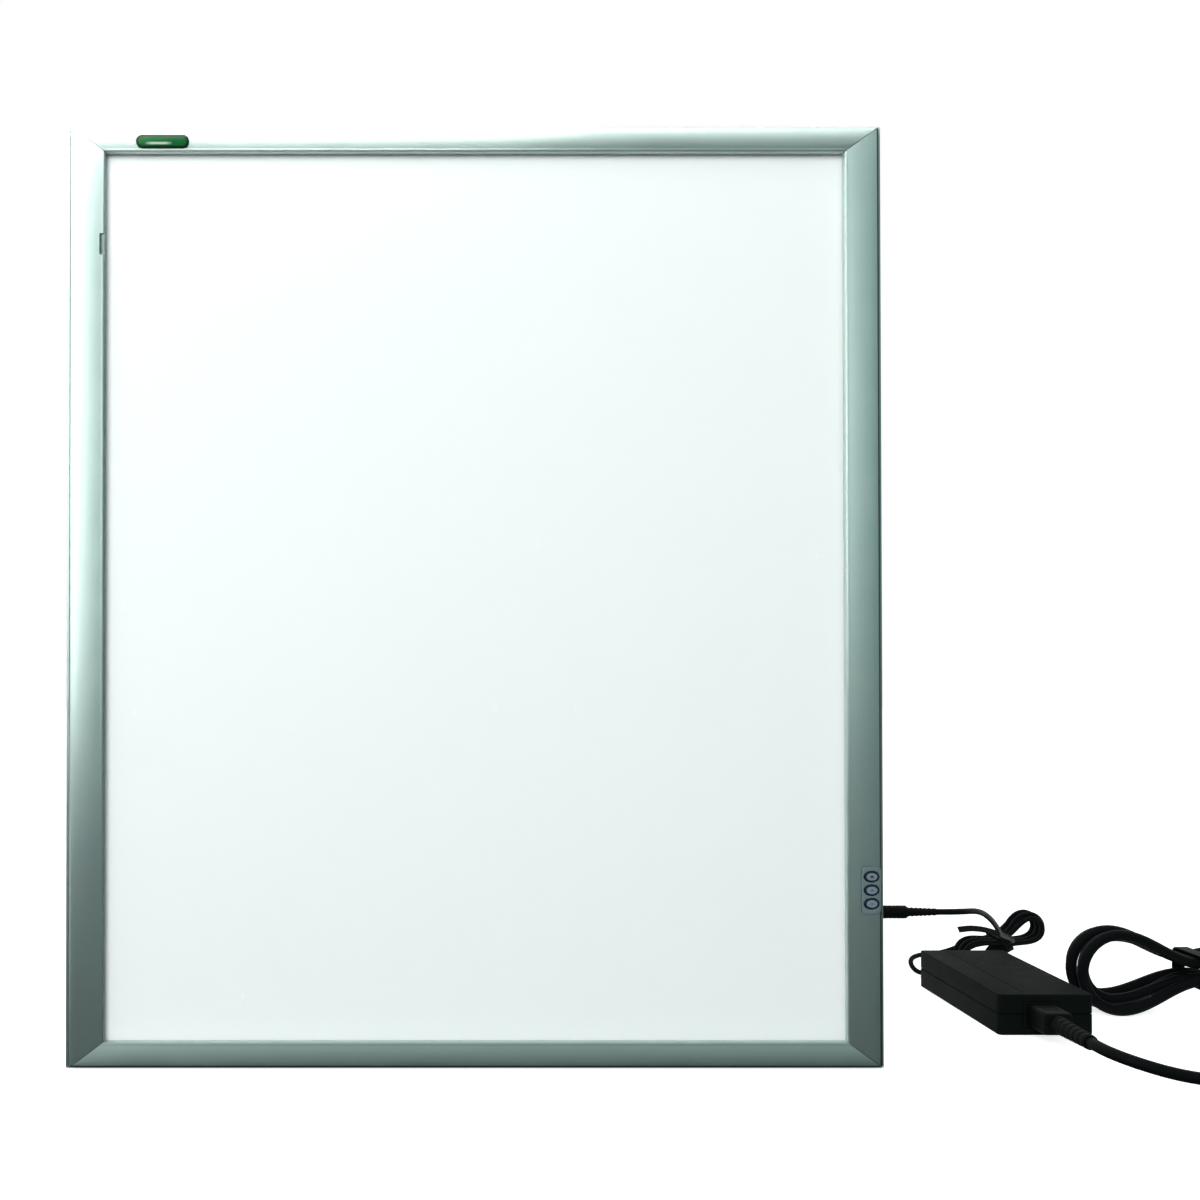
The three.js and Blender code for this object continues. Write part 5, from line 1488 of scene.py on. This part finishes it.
# Diffuse, with a glow that lights nothing matt: white where nothing shades it
def makeFloor():
    half, z = room["floorHalf"], -room["floorDrop"]
    obj = meshPiece("floor", level(rectangle(2 * half, 2 * half), z), [[0, 1, 2, 3]])
    look = Look("white floor", 1.0, sheen=0.0)
    ray = lightPath(look.tree)
    behind = axes(look.where)[1].mapped(*room["rearEdge"], 0.0, 1.0)
    pale = ray["Is Camera Ray"].of("MAXIMUM", behind)
    setInputs(look.shader, {
        "Base Color": blend(pale, room["floorFront"], room["floorColour"]),
        "Emission Color": (1, 1, 1, 1),
        "Emission Strength": showsWhite(ray, behind) * room["floorGlow"]})
    obj.data.materials.append(look.material)


# White behind the object; in front of it a room that is brighter above
def makeWorld():
    world = bpy.data.worlds.new("room")
    bpy.context.scene.world = world
    world.use_nodes = True
    tree = world.node_tree
    tree.nodes.clear()
    x, y, z = axes(get(tree, "ShaderNodeTexCoord", output="Generated"))
    ray = lightPath(tree)
    height = z.mapped(*room["rise"], 0.0, 1.0, soft=True)
    glow = x.mapped(*room["glowX"], 1.0, 0.0, soft=True) * z.mapped(*room["glowZ"], 0.0, 1.0, soft=True)
    front = z.mapped(*room["rise"], room["low"], room["high"], soft=True)
    front = front + glow * room["glow"] * ray["Is Glossy Ray"]
    behind = y.of("GREATER_THAN", 0.0)
    plain = put(tree, "ShaderNodeBackground", {
        "Color": blend(height, room["lowTint"], room["tint"]),
        "Strength": front.of("MAXIMUM", behind * room["back"])})
    white = put(tree, "ShaderNodeBackground", {"Color": (1, 1, 1, 1), "Strength": 1.0})
    mixed = get(tree, "ShaderNodeMixShader", {
        0: showsWhite(ray, behind), 1: plain.outputs[0], 2: white.outputs[0]})
    put(tree, "ShaderNodeOutputWorld", {"Surface": mixed})


lamps = [
    {"name": "soft box", "place": (-0.65, -2.1, 1.0), "aim": (0.0, 0.0, 0.25), "size": (1.3, 1.3),
     "power": 47.5, "spread": 180, "glossy": False},
    {"name": "near glow", "place": (-0.62, -0.42, 0.53), "aim": (-0.2, 0.0, 0.5), "size": (0.4, 0.8),
     "power": 2.0, "spread": 109, "glossy": True},
    {"name": "top glow", "place": (-0.3, -0.13, 0.62), "aim": (-0.3, 0.0, 0.573), "size": (0.75, 0.08),
     "power": 1.18, "spread": 115, "glossy": True},
    {"name": "right glow", "place": (0.1, -0.15, 0.72), "aim": (0.1, 0.0, 0.66), "size": (0.7, 0.08),
     "power": 0.95, "spread": 115, "glossy": True},
]


# The soft box lights what is matt, the glows what shines
def makeLamp(lamp):
    data = bpy.data.lights.new(lamp["name"], "AREA")
    data.shape = "ELLIPSE"
    data.size, data.size_y = lamp["size"]
    data.energy = lamp["power"]
    data.spread = math.radians(lamp["spread"])
    obj = addObject(lamp["name"], data)
    obj.location = lamp["place"]
    aim = Vector(lamp["aim"]) - Vector(lamp["place"])
    obj.rotation_euler = aim.to_track_quat("-Z", "Y").to_euler()
    obj.visible_camera = obj.visible_transmission = False
    obj.visible_glossy = lamp["glossy"]
    obj.visible_diffuse = not lamp["glossy"]


for lamp in lamps:
    makeLamp(lamp)
makeFloor()
makeWorld()
bpy.context.scene.view_settings.view_transform = "Standard"
print("light: set")
